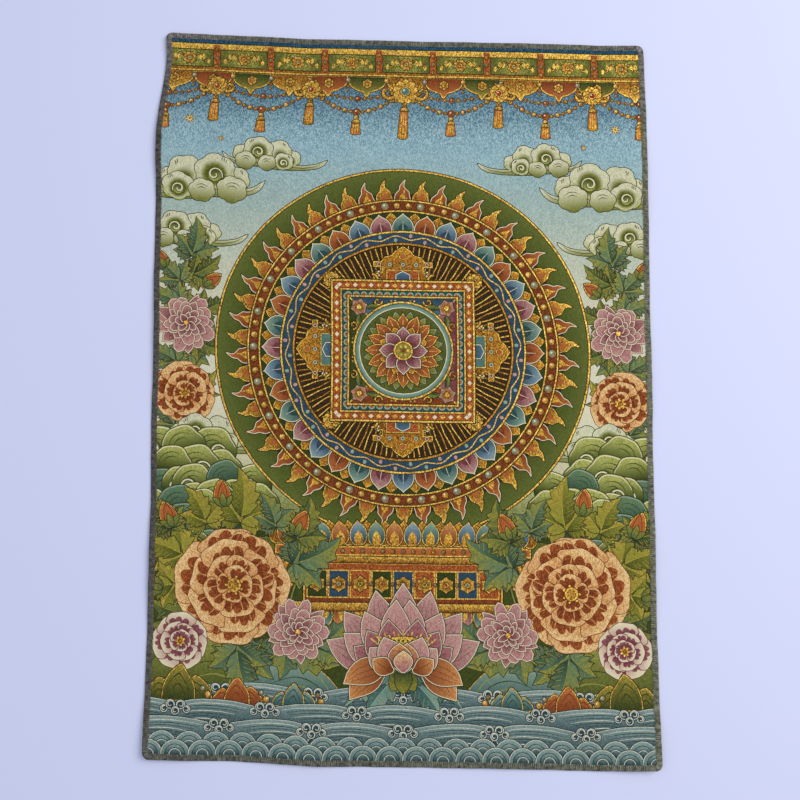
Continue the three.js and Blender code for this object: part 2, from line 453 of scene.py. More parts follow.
def frilled(L, W, frills=4, deep=0.07, n=26, lean=0.0):
    """A broad petal with a frilled rim."""
    a = np.linspace(-0.42 * math.pi, math.pi + 0.42 * math.pi, n)
    k = 1 + deep * np.cos(a * frills * 2 + lean)
    x = np.cos(a) * W / 2 * k
    y = L * 0.56 + np.sin(a) * L * 0.44 * k
    y = np.where(np.sin(a) < 0, L * 0.56 + np.sin(a) * L * 0.5, y)
    x = np.where(np.sin(a) < 0, x * (0.3 + 0.7 * (1 + np.sin(a))), x)
    return np.concatenate([np.stack([x, y], 1), [(0.0, 0.0)]])


def bead(pen, x, y, r, dye=GOLD_HI, line=LINE, glint=CREAM, n=10):
    n = min(n, 7) if r < 2.6 else n
    pen.fill(circle(x, y, r + 0.8, n), line)
    pen.fill(circle(x, y, r, n), dye, GOLD_LO, ('rad', (x - r * 0.3, y + r * 0.3), r * 0.2, r * 1.3))
    if glint is not None and r > 2.7:
        pen.fill(circle(x - r * 0.25, y + r * 0.3, max(r * 0.28, 0.6), 5), glint)


def leaf(pen, L, W, bend=0.25, dark=LEAF_LO, light=LEAF, rib=LEAF_HI, veins=4, line=LINE):
    """A toothed leaf with a lit and a shaded half, a midrib, and hatching in from the rim."""
    t = np.linspace(0, 1, 10)
    mid = np.stack([bend * L * t * t, L * t * (1 - 0.12 * abs(bend) * t)], 1)
    e = np.gradient(mid, axis=0)
    e /= np.hypot(*e.T)[:, None]
    nrm = np.stack([e[:, 1], -e[:, 0]], 1)
    h = W / 2 * np.sin(math.pi * t ** 0.78) ** 0.9
    fwd = np.zeros(10)
    h[0], h[-1] = 0.4, 0
    h[[2, 4, 6]] *= 1.17
    h[[3, 5, 7]] *= 0.80
    fwd[[2, 4, 6]] = 0.085 * L
    tip = mid[-1] + nrm[-1] * bend * L * 0.22 + e[-1] * L * 0.10
    right, left = mid + nrm * h[:, None] + e * fwd[:, None], mid - nrm * h[:, None] + e * fwd[:, None]
    right[-1] = left[-1] = tip
    whole = np.concatenate([right, left[::-1][1:]])
    pen.fill(grown(whole, 0.8 / pen.k), line)
    pen.fill(np.concatenate([mid[:-1], right[::-1]]), dark, light, ('lin', mid[0], mid[-1]))
    pen.fill(np.concatenate([mid[:-1], left[::-1]]), light, rib, ('lin', mid[1], mid[-1]))
    for q in (2, 4, 6)[:3 if veins else 0]:
        for side in (right, left):
            a, b = side[q] * 0.93 + mid[q] * 0.07, side[q] * 0.30 + mid[q - 1] * 0.70
            pen.line([a, b], 0.4, HATCH, 0.9, 0.4)
            a, b = side[q + 1] * 0.94 + mid[q + 1] * 0.06, side[q + 1] * 0.45 + mid[q] * 0.55
            pen.line([a, b], 0.4, HATCH if side is right else dark, 0.85, 0.4)
    pen.line(mid[:-1:2], 0.9, rib if veins else light, 0.8, 0.4)


def lobed_leaf(pen, L, W, bend=0.2, kind=0):
    """A cut leaf of five lobes on one stalk."""
    dark, light, rib = ((LEAF_LO, LEAF, LEAF_HI), (SEA_LO, SEA, LEAF_HI), (MOSS_LO, MOSS, HATCH))[kind % 3]
    for a, k, s in ((78, 0.52, 1), (-78, 0.52, -1), (42, 0.74, 1), (-42, 0.74, -1), (0, 1.0, 0)):
        leaf(Pen(0, L * 0.16 * (1 if a else 1.6), a, 1, on=pen), L * 0.82 * k, W * 0.5 * (0.8 + 0.3 * k),
             bend * (1 if s == 0 else -0.9 * s), dark, light, rib, 3)


def bud(pen, L, W, outer=RUST, inner=RUST_HI, cup=LEAF):
    pen.shape(pointed(L, W), outer, inner, ('lin', (0, 0), (0, L)), LINE, 1.0, GOLD_HI, 0.7)
    pen.shape(turned(pointed(L * 0.9, W * 0.5), 9) + [W * 0.1, 0], inner, outer, ('lin', (0, 0), (0, L)), LINE, 0.7)
    for a in (-46, 46, 0):
        pen.shape(turned(pointed(L * 0.5, W * 0.36), a), cup, LEAF_HI, ('lin', (0, 0), (0, L * .5)), LINE, 0.8)


def peony(pen, R, dark, mid, light, rim, line=PETAL_LINE, heart=GOLD_HI, rings=4, seed=1):
    """A full blossom of broad ruffled petals in rings round an open heart."""
    rnd = random.Random(seed)
    big = R > 45
    for k in range(rings):
        f = 1 - k / rings
        n = (7, 6, 5, 4, 4)[k]
        L, W = R * (0.62 * f + 0.19), R * (0.86 * f + 0.20)
        r0 = R * (0.42 * f ** 1.25)
        turn0 = rnd.uniform(0, 360)
        for i in range(n):
            a = turn0 + i * 360 / n + rnd.uniform(-8, 8)
            p = Pen(on=pen, turn=a)
            s = rnd.uniform(0.90, 1.10)
            pts = frilled(L * s, W * s * 1.08, 3 if k < 2 else 2, 0.06 if big else 0.045, 30 if big and k < 3 else 19, rnd.uniform(0, 6)) + [0, r0 - L * 0.18]
            y0, y1 = r0 - L * 0.08, r0 + L * 0.80
            p.shape(pts, light, rim, ('lin', (0, y0 + L * 0.25), (0, y1)), line, 0.8)
            # the dark hollow of the petal, rounded and drawn out in soft fingers
            x = rnd.uniform(-0.10, 0.10) * W
            q = rnd.uniform(.90, 1.08)
            w = rnd.uniform(.72, 1.0)
            tips = []
            for v, top in ((-.24, .72 * q), (.02, .80 * q), (.25, .70 * q)):
                tips += [(x + (v - .09) * W * w, y0 + L * (top - .05)), (x + v * W * w, y0 + L * top), (x + (v + .09) * W * w, y0 + L * (top - .06)),
                         (x + (v + .13) * W * w, y0 + L * (top - .12))]
            blot = smooth([(x - W * .20 * w, y0 + L * .1), (x - W * .38 * w, y0 + L * .48), *tips[:-1], (x + W * .39 * w, y0 + L * .46),
                           (x + W * .20 * w, y0 + L * .1)], 2, True)
            if big:
                p.fill(grown(blot, 1.2), light, rim, ('lin', (0, y0), (0, y1 + L * .2)))
            p.fill(blot, dark, mid, ('lin', (0, y0 + L * .35), (0, y0 + L * .95)))
            if big and k < 3:
                for v in (-0.16, 0.17):
                    p.line([(x + v * W * .8, y0 + L * 0.34), (x + v * W, y0 + L * 0.52), (x + v * W * 1.15, y0 + L * 0.74)], 1.1, light, 1.2, 0.5)
                for v in (-0.36, 0.34):
                    p.line([(v * W, y0 + L * 0.50), (v * W * 1.06, y0 + L * 0.78)], .4, light, .9, .4)
    pen.shape(circle(0, 0, R * 0.13, 12), GOLD_LO, heart, ('rad', (0, 0), 0, R * 0.12), line, 1.0)
    for i in range(7):
        a = math.radians(i * 360 / 7)
        pen.fill(circle(math.cos(a) * R * 0.075, math.sin(a) * R * 0.075, 1.0 / pen.k, 5), RUST_LO)
        pen.fill(circle(math.cos(a) * R * 0.16, math.sin(a) * R * 0.16, 1.4 / pen.k, 6), heart)


def pompon(pen, R, dark, mid, light, rim, seed=1, rows=4):
    """A blossom of many narrow petals that part and overlap unevenly."""
    rnd = random.Random(seed)
    for k in range(rows):
        f = 1 - k / rows
        n = (14, 12, 9, 7)[k]
        turn0 = rnd.uniform(0, 360)
        for i in range(n):
            L = R * (0.58 * f + 0.22) * rnd.uniform(0.80, 1.12)
            r0 = R * 0.40 * f ** 1.2
            p = Pen(on=pen, turn=turn0 + i * 360 / n + rnd.uniform(-8, 8))
            W = R * (0.29 * f + 0.17) * rnd.uniform(.85, 1.15)
            pts = (rounded_petal if (i + k) % 3 else pointed)(L, W, 0.3, 4) + [0, r0 - L * 0.12]
            p.fill(grown(pts, 0.7 / p.k), PINK_LO)
            p.fill(pts, rim)
            tone2 = (dark, mid, mid)[(i + k) % 3] if k < 2 else dark
            p.fill(grown(pts, -0.85 / p.k), tone2, light, ('lin', (0, r0 + L * .08), (0, r0 + L * 1.02)))
            p.line([(0, r0 + L * .1), (0, r0 + L * .6)], .5, dark, .6, .3)
    pen.fill(circle(0, 0, R * 0.12, 9), PINK_LO)
    pen.fill(circle(0, 0, R * 0.09, 9), GOLD_HI)


def lotus_petal(L, W, bend=0.0, n=10):
    """Midline, its normals and half widths, and the outline of a petal that bends to one side."""
    t = np.linspace(0, 1, n)
    mid = np.stack([bend * L * t * t, L * t * (1 - 0.10 * abs(bend) * t)], 1)
    e = np.gradient(mid, axis=0)
    e /= np.hypot(*e.T)[:, None]
    nrm = np.stack([e[:, 1], -e[:, 0]], 1)
    h = W / 2 * np.sin(math.pi * t ** 1.06) ** 0.74
    h[0], h[-1] = W * 0.09, 0
    right, left = mid + nrm * h[:, None], mid - nrm * h[:, None]
    tip = mid[-1] + e[-1] * L * 0.035 + nrm[-1] * bend * L * 0.03
    return mid, nrm, h, np.concatenate([right[:-1], [tip], left[:-1][::-1]])


def lotus(pen, R):
    """An open lotus seen from the side, with a seed head and turned-down outer petals."""
    def row(angles, L, W, dye, dye2, rim, y=0.0, bend=0.0, veins=(-.42, 0, .42)):
        for a in sorted(angles, key=lambda a: -abs(a)):
            k = 1 - 0.13 * min(abs(a), 90) / 90
            s = (a > 0) - (a < 0)
            p = Pen(a * -0.0016 * R, y, a, 1, on=pen)
            mid, nrm, h, ring = lotus_petal(L * k, W, bend * s)
            p.shape(ring, dye, dye2, ('lin', (0, L * 0.10), (0, L * k * 0.98)), LINE, 0.95, rim, 0.8)
            for v in veins:
                p.line((mid + nrm * (h * v)[:, None])[2:9:2], 0.4, dye, 0.85, 0.3)
    row([-80, 80, -55, 55, -28, 28, 0], R * 1.0, R * 0.43, PINK_LO, PINK_HI, CREAM, 0, .16)
    row([-68, 68, -42, 42, -14, 14], R * 0.83, R * 0.40, PINK, PINK_HI, CREAM, -R * .01, .16)
    row([-76, 76, -52, 52, -26, 26], R * 0.62, R * 0.35, PINK_LO, PINK, OFFWHITE, -R * 0.02, .20, (0,))
    # stamens and the seed head
    for i in range(15):
        x = (i - 7) * R * 0.05
        pen.line([(x * 0.5, R * 0.14), (x * 1.2, R * (0.40 + 0.035 * (i % 2)) - abs(x) * .18)], 1.1, GOLD_HI, 1.0, 1.6)
    pen.shape(smooth([(-R * .11, R * .10), (-R * .17, R * .29), (-R * .11, R * .355), (R * .11, R * .355), (R * .17, R * .29),
                      (R * .11, R * .10)], 4, True), GOLD_GREEN, GOLD_HI, ('lin', (0, R * .14), (0, R * .36)), LINE, 1.0, GOLD_HI)
    for i in range(5):
        for j in range(2):
            pen.fill(circle((i - 2) * R * 0.056 + j * R * 0.03, R * (0.310 - j * 0.05), 1.4, 7), OLIVE_LO)
    row([-112, 112, -92, 92], R * 0.72, R * 0.34, RUST_LO, PEACH, CREAM, -R * 0.01, -.30)
    row([-60, 60, -34, 34], R * 0.46, R * 0.33, PINK, PINK_HI, CREAM, -R * 0.05, .14, (0,))
    for a in (-150, 150, 180):
        Pen(0, -R * .05, a, 1, on=pen).shape(pointed(R * .30, R * .22), LEAF_LO, LEAF_HI, ('lin', (0, 0), (0, R * .3)), LINE, .9)
    row([-11, 11], R * 0.36, R * 0.31, PINK_LO, PEACH, CREAM, -R * 0.08, .10, (0,))
    row([-74, 74], R * 0.34, R * 0.24, RUST_LO, PEACH, CREAM, -R * 0.07, .22, (0,))
    row([0], R * 0.27, R * 0.25, PINK, PEACH_HI, CREAM, -R * 0.09, 0, (0,))


def head(pen, x, y, R, rnd, s=1, kind='plain', core=CLOUD_HEART, body=OFFWHITE, rim=CREAM):
    """One swelling head of cloud, scalloped and shaded: plain, or with a deep hollow, or a curl wound into it."""
    p = Pen(x, y, rnd.uniform(-14, 14), 1, s < 0, on=pen)
    n = 5 if R < 15 else 6
    f = np.arange(n * 4) / 4
    bulge = 0.91 + 0.12 * np.abs(np.sin(math.pi * f)) ** 0.8
    a = (f + rnd.uniform(0, 1)) * 2 * math.pi / n + 0.12 * np.sin(f * 2 * math.pi / n)
    ring = np.stack([np.cos(a) * R * bulge * 1.06, np.sin(a) * R * bulge * .96], 1)
    p.fill(grown(ring, 0.85 / p.k), LINE)
    if kind == 'plain':
        p.fill(ring, core, body, ('lin', (0, -R * 1.0), (0, R * .42)))
        for q, dye in ((.66, LINE_SOFT), (.42, OLIVE_LO)):
            p.line(arc(R * .04, -R * .16, R * q, 158 - 30 * q, 40, 7), .4, dye, 1.2, .3)
        return
    p.fill(ring, CLOUD_GREEN, body, ('lin', (0, -R * .95), (0, R * .15)))
    if kind == 'deep':
        # the hollow lies low, where the next head covers half of it
        cx, cy = R * .06, -R * .34
        p.fill(circle(cx, cy, R * .68, 12), core, body, ('rad', (cx, cy), R * .34, R * .66))
        p.fill(circle(cx, cy - R * .08, R * .34, 8), CLOUD_DARK, core, ('lin', (cx, cy - R * .3), (cx, cy + R * .3)))
        for k in range(2 if R > 12 else 0):
            t = math.radians(44 + k * 11)
            u = math.radians(30 + k * 11)
            p.line([(math.cos(t) * R * .90, math.sin(t) * R * .86), (math.cos(t) * R * .76 + .6, math.sin(t) * R * .76),
                    (math.cos(u) * R * .66, math.sin(u) * R * .62)], .4, LINE_SOFT, 1.3, .3)
        return
    cx, cy = -R * .04, -R * .16
    p.fill(circle(cx, cy + R * .04, R * .76, 14), core, body, ('rad', (cx, cy + R * .04), R * .54, R * .76))
    p.fill(circle(cx, cy, R * .54, 12), CLOUD_DARK, core, ('rad', (cx, cy), R * .30, R * .54))
    p.fill(circle(cx, cy - R * .02, R * .36, 10), CLOUD_GREEN, CLOUD_DARK, ('lin', (cx, cy - R * .34), (cx, cy + R * .30)))
    for k in range(3):
        t, v, u = (math.radians(z + k * 9) for z in (40, 37, 31))
        p.line([(math.cos(t) * R * .92, math.sin(t) * R * .88), (math.cos(v) * R * .83, math.sin(v) * R * .80),
                (math.cos(u) * R * (.74 - .03 * k), math.sin(u) * R * (.72 - .03 * k))], .4, OLIVE_LO if k else core, 1.3, .3)
    b = np.linspace(-0.55, 2.1 * math.pi, 17)
    c = R * .42 * (1 - (b + .55) / (2.75 * math.pi))
    sp = np.stack([cx + np.cos(b) * c, cy + np.sin(b) * c], 1)
    p.line(sp + [.7, -.9], 2.0, CLOUD_DARK, 2.2, 1.0)
    p.line(sp, .9, rim, 1.9, .9)


def cumulus(pen, w, h, seed, tail=1):
    """A cloud of scalloped heads one before the other, and drawn-out ends."""
    rnd = random.Random(seed)
    flip = 1 if tail >= 0 else -1
    if tail:
        for s, L, y in ((tail, w * 0.88, -h * 0.27), (-tail, w * 0.64, -h * 0.22)):
            t = smooth([(0, y + h * .10), (s * L * .5, y + h * .05), (s * L * .8, y + h * .10), (s * L, y + h * .24), (s * L * .86, y + h * .01),
                        (s * L * .5, y - h * .09), (0, y - h * .08)], 4, True)
            pen.fill(grown(t, 0.9 / pen.k), LINE)
            pen.fill(t, CLOUD_HEART, OFFWHITE, ('lin', (0, y - h * .12), (0, y + h * .10)))
            pen.line([(s * L * .36, y), (s * L * .60, y - h * .02), (s * L * .80, y + h * .045), (s * L * .93, y + h * .16)], .6, OLIVE_LO, 1.0, .3)
    for x, y, r, s, kind in ((-.34 * flip, .03, .27, -1, 'deep'), (.36 * flip, -.02, .24, 1, 'deep'), (.17 * flip, .16, .32, flip, 'deep'),
                             (-.13 * flip, .17, .37, -flip, 'wound'), (-.29 * flip, -.17, .25, -1, 'plain'),
                             (.26 * flip, -.13, .27, flip, 'wound'), (.01 * flip, -.20, .24, 1, 'plain')):
        head(pen, x * w * rnd.uniform(.95, 1.05), y * h, r * h * rnd.uniform(.95, 1.08), rnd, s, kind)


def heap(pen, w, h, seed, sea=0.3):
    """A bank of swelling green cloud: mounds one over the other, light above and dark below, with curls."""
    rnd = random.Random(seed)
    rows = ((0.34, 3, 0.34), (0.05, 4, 0.33), (-0.26, 5, 0.29))
    for q, (y, n, r) in enumerate(rows):
        order = sorted(range(n), key=lambda i: -abs(i - (n - 1) / 2))
        for i in order:
            x = (i - (n - 1) / 2) * w / (n + .4) + rnd.uniform(-.03, .03) * w
            cy = (y + rnd.uniform(-.04, .04)) * h - abs(i - (n - 1) / 2) * h * .07
            rr = r * h * rnd.uniform(.88, 1.12)
            low, high = (SEA_LO, SEA) if rnd.random() < sea else (CLOUD_DARK, CLOUD_GREEN)
            m = Pen(x, cy, rnd.uniform(-14, 14), 1, on=pen)
            a = np.linspace(-0.18 * math.pi, 1.18 * math.pi, 26)
            k = 1 + 0.055 * np.abs(np.sin(a * 2.5)) + 0.02 * np.sin(a * 7)
            ring = np.stack([np.cos(a) * rr * k, np.sin(a) * rr * k * 1.04], 1)
            m.shape(ring, low, high, ('lin', (0, -rr * .22), (0, rr * .78)), LINE, 0.9)
            edge = np.stack([np.cos(a) * rr * (k - .05), np.sin(a) * rr * (k - .05) * 1.04], 1)
            m.line(edge[5:21], .5, CREAM if high is CLOUD_GREEN else TEAL_HI, 1.3, .5)
            for z in (.70, .46):
                m.line(np.stack([np.cos(a) * rr * z, np.sin(a) * rr * z + rr * .02], 1)[4:17:2], .4, low, 1.3, .4)
            if (i + q) % 2 == 0:
                s = 1 if rnd.random() < .5 else -1
                b = np.linspace(0, 2.2 * math.pi, 18)
                c = rr * .40 * (1 - b / (2.9 * math.pi))
                sp = np.stack([s * np.cos(b - .5) * c + s * rr * .22, np.sin(b - .5) * c - rr * .02], 1)
                m.fill(circle(s * rr * .22, -rr * .02, rr * .42, 16), high, low, ('rad', (s * rr * .22, -rr * .02), rr * .1, rr * .42))
                m.line(sp + [.8, -.9], 2.0, CLOUD_DARK, 2.4, 1.0)
                m.line(sp, 1.6, CREAM if high is CLOUD_GREEN else TEAL_HI, 1.8, .8)


def rosette(pen, r, petals=8, dye=GOLD, dye2=GOLD_HI, heart=RED, line=LINE):
    if r < 12:
        # too small for separate petals: one lobed outline with slits between the petals
        a = (np.arange(petals * 3) + .5) * 2 * math.pi / (petals * 3)
        k = np.where(np.arange(petals * 3) % 3 == 1, 1.0, 0.80)
        p = np.stack([np.cos(a) * r * k, np.sin(a) * r * k], 1)
        pen.shape(p, GOLD_LO, dye2, ('rad', (0, 0), r * .3, r), line, .9)
        for i in range(petals):
            b = i * 2 * math.pi / petals
            c, s = math.cos(b), math.sin(b)
            pen.line([(c * r * .36, s * r * .36), (c * r * .74, s * r * .74)], .9, GOLD_LO, .7, .4)
        pen.shape(circle(0, 0, r * 0.30, 8), heart, line=line, lw=0.7, rim=GOLD_HI, rw=0.8)
        return
    for i in range(petals):
        Pen(turn=(i + 0.5) * 360 / petals, on=pen).shape(pointed(r * 0.95, r * 0.5), GOLD_LO, dye, ('lin', (0, 0), (0, r)), line, 0.9)
    for i in range(petals):
        Pen(turn=i * 360 / petals, on=pen).shape(rounded_petal(r * 0.78, r * 0.5), dye, dye2, ('lin', (0, 0), (0, r * .8)), line, 0.7)
    pen.shape(circle(0, 0, r * 0.30, 12), heart, line=line, lw=0.8, rim=GOLD_HI, rw=0.9)
    pen.fill(circle(-r * 0.08, r * 0.08, max(r * 0.07, 0.7), 6), CREAM)


def star(pen, r, n=8, dye=GOLD_HI, heart=RUST):
    a = np.arange(n * 2) * math.pi / n
    rr = np.where(np.arange(n * 2) % 2 == 0, r, r * 0.34)
    pts = np.stack([np.cos(a) * rr, np.sin(a) * rr], 1)
    pen.fill(grown(pts, 0.7), BROWN)
    pen.fill(pts, dye, CREAM, ('rad', (0, 0), 0, r))
    pen.fill(circle(0, 0, r * 0.2, 6), heart)


def tassel(pen, L, dye=GOLD, thread=RUST_HI):
    """A hanging drop: bead, cap and threads, growing down from the origin."""
    bead(pen, 0, -3.2, 3.0)
    pen.shape(smooth([(-3, -6.5), (3, -6.5), (4.6, -11), (-4.6, -11)], 3, True), GOLD_HI, GOLD_LO, ('lin', (0, -6), (0, -11)), LINE, 0.8)
    pen.shape([(-4.4, -11), (4.4, -11), (6.0, -L), (2.0, -L * 1.05), (-2.0, -L * 1.05), (-6.0, -L)], dye, thread,
              ('lin', (0, -11), (0, -L)), LINE, 0.9)
    for x in (-2.6, 0, 2.6):
        pen.line([(x * 0.8, -12.5), (x * 1.3, -L + 1)], 0.7, GOLD_HI)


def swag(pen, x0, x1, y, sag, beads=13, r=2.9, dye=GOLD_HI):
    w = x1 - x0
    t = np.linspace(0, 1, beads + 2)
    pts = np.stack([x0 + w * t, y - sag * 4 * t * (1 - t)], 1)
    fine = np.linspace(0, 1, 24)
    pen.line(np.stack([x0 + w * fine, y - sag * 4 * fine * (1 - fine)], 1), 1.6, GOLD_LO)
    for k, (x, yy) in enumerate(pts[1:-1]):
        mid = abs(k - (beads - 1) / 2) < 0.6
        bead(pen, x, yy, r * (1.5 if mid else (1.0 if k % 2 else 0.72)), dye if not mid else RED)


def scroll(pen, size, dye=GOLD, hi=GOLD_HI, lo=GOLD_LO, turns=1.35, w=5.0):
    """A scroll of foliage: a thick curl that tapers, with leaflets off its back."""
    a = np.linspace(0, turns * 2 * math.pi, 34)
    r = size * (1 - a / (turns * 2 * math.pi) * 0.80)
    pts = np.stack([np.cos(a + math.pi) * r, np.sin(a + math.pi) * r], 1) + [size, 0]
    for k, q in enumerate((2, 6, 10, 14)):
        d = pts[q + 1] - pts[q - 1]
        ang = math.degrees(math.atan2(d[1], d[0])) - 90 - 62
        Pen(*pts[q], ang, 1, on=pen).shape(pointed(size * (0.62 - 0.08 * k), size * 0.3), lo, hi,
                                           ('lin', (0, 0), (0, size * .5)), LINE, 0.9, GOLD_HI, 0.6)
    p = pen.at(pts)
    lay(ribbon(p, w + 2.0, w + 1.8, 2.4), LINE)
    lay(ribbon(p, w, w - .6, 1.2), dye)
    lay(ribbon(p, w * .34, w * .3, .6), hi)
    bead(pen, *pts[-1], size * 0.15, GOLD_HI)


def stem(pen, pts, w=3.0, dye=LEAF, hi=LEAF_HI):
    c = smooth(pts, 7)
    p = pen.at(c)
    lay(ribbon(p, w + 2, w + 1.6, w + 1.0), LINE)
    lay(ribbon(p, w, w - .4, w - 1.0), dye)
    lay(ribbon(p, w * .3, w * .3, w * .25), hi)
    return c


# ---- the round medallion in the middle

def mandala(pen):
    # flames round the outside
    pen.fill(circle(0, 0, 196, 90), LINE)
    n = 54
    for i in range(n):
        p = Pen(turn=i * 360 / n, on=pen)
        tongue = smooth([(-10.6, 186), (-9.6, 195), (-4.6, 201), (-3.4, 207), (3.6, 214.5), (2.0, 205.5), (7.8, 199), (8.6, 193.5),
                         (10.6, 186)], 3)
        c = (GOLD_LO, GOLD_HI) if i % 2 else (RUST_LO, RUST_HI)
        p.shape(tongue, c[0], c[1], ('lin', (0, 187), (0, 212)), LINE, 1.0, GOLD_HI if i % 2 else CREAM, 0.8)
        p.fill(smooth([(-4.2, 187), (-3.4, 193), (0.4, 197), (2.6, 203), (2.4, 196), (5, 191), (4.6, 187)], 2, True),
               RUST if i % 2 else GOLD, GOLD_HI if not i % 2 else RUST_HI, ('lin', (0, 187), (0, 203)))
    # beads
    pen.fill(circle(0, 0, 189.4, 110), LINE)
    pen.fill(circle(0, 0, 188.2, 110), GOLD_HI)
    pen.fill(circle(0, 0, 186.6, 110), LINE)
    pen.fill(circle(0, 0, 185.8, 110), RUST_LO)
    for i in range(78):
        a = math.radians(i * 360 / 78)
        bead(pen, math.cos(a) * 180.6, math.sin(a) * 180.6, 3.9 if i % 3 else 4.9, GOLD_HI if i % 3 else TEAL_HI, BROWN, n=9)
    pen.fill(circle(0, 0, 175.6, 110), LINE)
    pen.fill(circle(0, 0, 174.8, 110), GOLD_HI)
    pen.fill(circle(0, 0, 173.2, 110), LINE)
    # lotus petals, a back row and a front row in turn
    pen.fill(circle(0, 0, 172.4, 100), OLIVE_LO)
    n = 36
    for i in range(n):
        Pen(turn=(i + .5) * 360 / n, on=pen).shape(pointed(31, 21) + [0, 141], GOLD_LO, GOLD, ('lin', (0, 150), (0, 171)), LINE, .8, GOLD_HI, .7)
    ring = [(TEAL_LO, TEAL_HI), (PINK_LO, PINK_HI), (BLUE_LO, BLUE_HI), (RUST_LO, RUST_HI)]
    for i in range(n):
        c = ring[i % 4]
        p = Pen(turn=i * 360 / n, on=pen)
        p.shape(ogee(30, 25) + [0, 141.5], c[0], c[1], ('lin', (0, 146), (0, 170)), LINE, 1.0, CREAM, 0.9)
        p.fill(ogee(18, 13) + [0, 142], c[0])
        p.line([(0, 146), (0, 161)], 0.8, CREAM, .8, .4)
    pen.fill(circle(0, 0, 149.8, 100), LINE)
    pen.fill(circle(0, 0, 148.8, 100), GOLD_HI)
    pen.fill(circle(0, 0, 146.8, 100), LINE)
    # a blue band with a gold vine
    pen.fill(circle(0, 0, 145.9, 100), BLUE_LO)
    a = np.linspace(0, 2 * math.pi, 241)
    vine = np.stack([np.cos(a), np.sin(a)], 1) * (140.2 + 2.5 * np.sin(a * 24))[:, None]
    for k in range(0, 240, 40):
        pen.line(vine[k:k + 42], 1.3, GOLD_HI)
    for i in range(48):
        b = (i + .5) * 7.5
        up = -1 if i % 2 else 1
        q = Pen(turn=b - 90, on=pen)
        q.fill(turned(pointed(5.4, 4.2), 0 if up < 0 else 180) + [0, 140.2 - up * 0.4], TEAL_HI if i % 4 < 2 else PINK_HI)
    pen.fill(circle(0, 0, 134.6, 100), LINE)
    pen.fill(circle(0, 0, 133.6, 100), GOLD)
    pen.fill(circle(0, 0, 131.6, 100), LINE)
    # dark field with fine gold rays
    pen.fill(circle(0, 0, 130.8, 90), BROWN)
    for i in range(120):
        q = Pen(turn=i * 3, on=pen)
        s = 1 if i % 2 else -1
        q.line([(0, 62), (s * .8, 78), (-s * .8, 95), (s * .9, 112), (0, 129.4)], 0.7, GOLD_HI if i % 2 else GOLD, 1.0, 1.35)
    # the four gates
    for k in range(4):
        q = Pen(turn=90 * k, on=pen)
        q.shape([(-33, 84), (33, 84), (33, 97), (25, 97), (25, 103), (36, 103), (36, 110), (27, 110), (22, 116), (14, 118), (9, 124),
                 (0, 129.5), (-9, 124), (-14, 118), (-22, 116), (-27, 110), (-36, 110), (-36, 103), (-25, 103), (-25, 97), (-33, 97)],
                GOLD_LO, GOLD, ('lin', (0, 86), (0, 126)), LINE, 1.2, GOLD_HI, 1.0)
        q.shape([(-20, 84), (20, 84), (20, 100), (-20, 100)], (RUST, TEAL, RUST, TEAL)[k], line=LINE, lw=.8, rim=GOLD_HI, rw=1.0)
        q.shape([(-9, 84), (9, 84), (9, 94), (0, 98.5), (-9, 94)], BLUE_LO, BLUE, ('lin', (0, 84), (0, 98)), LINE, .8, CREAM, .9)
        for x in (-29, -16, 0, 16, 29):
            q.shape(circle(x, 106.5, 2.4, 8), RED if x % 2 else TEAL, line=LINE, lw=.7, rim=CREAM, rw=.6)
        q.shape(pointed(9, 9) + [0, 112.5], RUST, RUST_HI, ('lin', (0, 113), (0, 121)), LINE, .7, GOLD_HI, .7)
        for s in (-1, 1):
            for j in range(3):
                q.shape(circle(s * (29.5), 88.5 + j * 4.2, 1.5, 7), CREAM, line=LINE, lw=.6)
            scroll(Pen(s * 37, 94, -90 * s, 1, s < 0, on=q), 8.5, GOLD, GOLD_HI, GOLD_LO, 1.05, 2.6)
        # rosettes on the square's corners
        rosette(Pen(turn=0, on=Pen(86, 86, on=q)), 12.5, 8, GOLD, GOLD_HI, (RED, TEAL, RED, TEAL)[k])
    # the square, border inside border
    def square(h, *dye):
        pen.fill([(-h, -h), (h, -h), (h, h), (-h, h)], *dye)
    square(88, LINE)
    square(86.8, GOLD_HI)
    square(84.8, LINE)
    square(84, RUST)
    square(76.4, LINE)
    square(75.6, GOLD_HI)
    square(74, LINE)
    square(73.3, TEAL_LO)
    for k in range(4):
        q = Pen(turn=90 * k, on=pen)
        for j in range(17):
            x = (j - 8) * 9.6
            q.fill([(x, 77.6), (x + 3.1, 80.2), (x, 82.8), (x - 3.1, 80.2)], GOLD_HI if j % 2 else CREAM)
        for j in range(-7, 8):
            x = j * 9.4
            q.fill(arc(x, 68.1, 4.1, 0, 180, 7), TEAL_HI)
            q.fill(arc(x, 68.1, 2.5, 0, 180, 6), RUST)
    square(68.2, LINE)
    square(67.2, GOLD_HI)
    square(65.4, LINE)
    for k, (c, d) in enumerate(((BLUE_LO, BLUE), (OLIVE_LO, OLIVE), (RUST_LO, RUST), (PINK_LO, PINK))):
        Pen(turn=90 * k, on=pen).fill([(0, 0), (-64.6, 64.6), (64.6, 64.6)], d, c, ('lin', (0, 40), (0, 64)))
    for k in range(4):
        q = Pen(turn=90 * k, on=pen)
        light = GOLD_HI if k < 3 else RUST_HI
        for s in (-1, 1):
            scroll(Pen(s * 3, 60.2, 0, 1, s < 0, on=Pen(s * 22, 0, on=q)), 5.4, GOLD, light, GOLD_LO, 1.0, 2.0)
            for x in (s * 14, s * 9, s * 51):
                q.fill(circle(x, 61.2, 1.1, 6), light)
        q.line([(-64, 64), (-43, 43)], 1.4, GOLD_HI)
    for k in range(4):
        q = Pen(turn=90 * k + 45, on=pen)
        Q = Pen(0, 75, 0, 1, on=q)
        rosette(Q, 10.5, 6, PINK, PINK_HI, GOLD_HI)
        for s in (-1, 1):
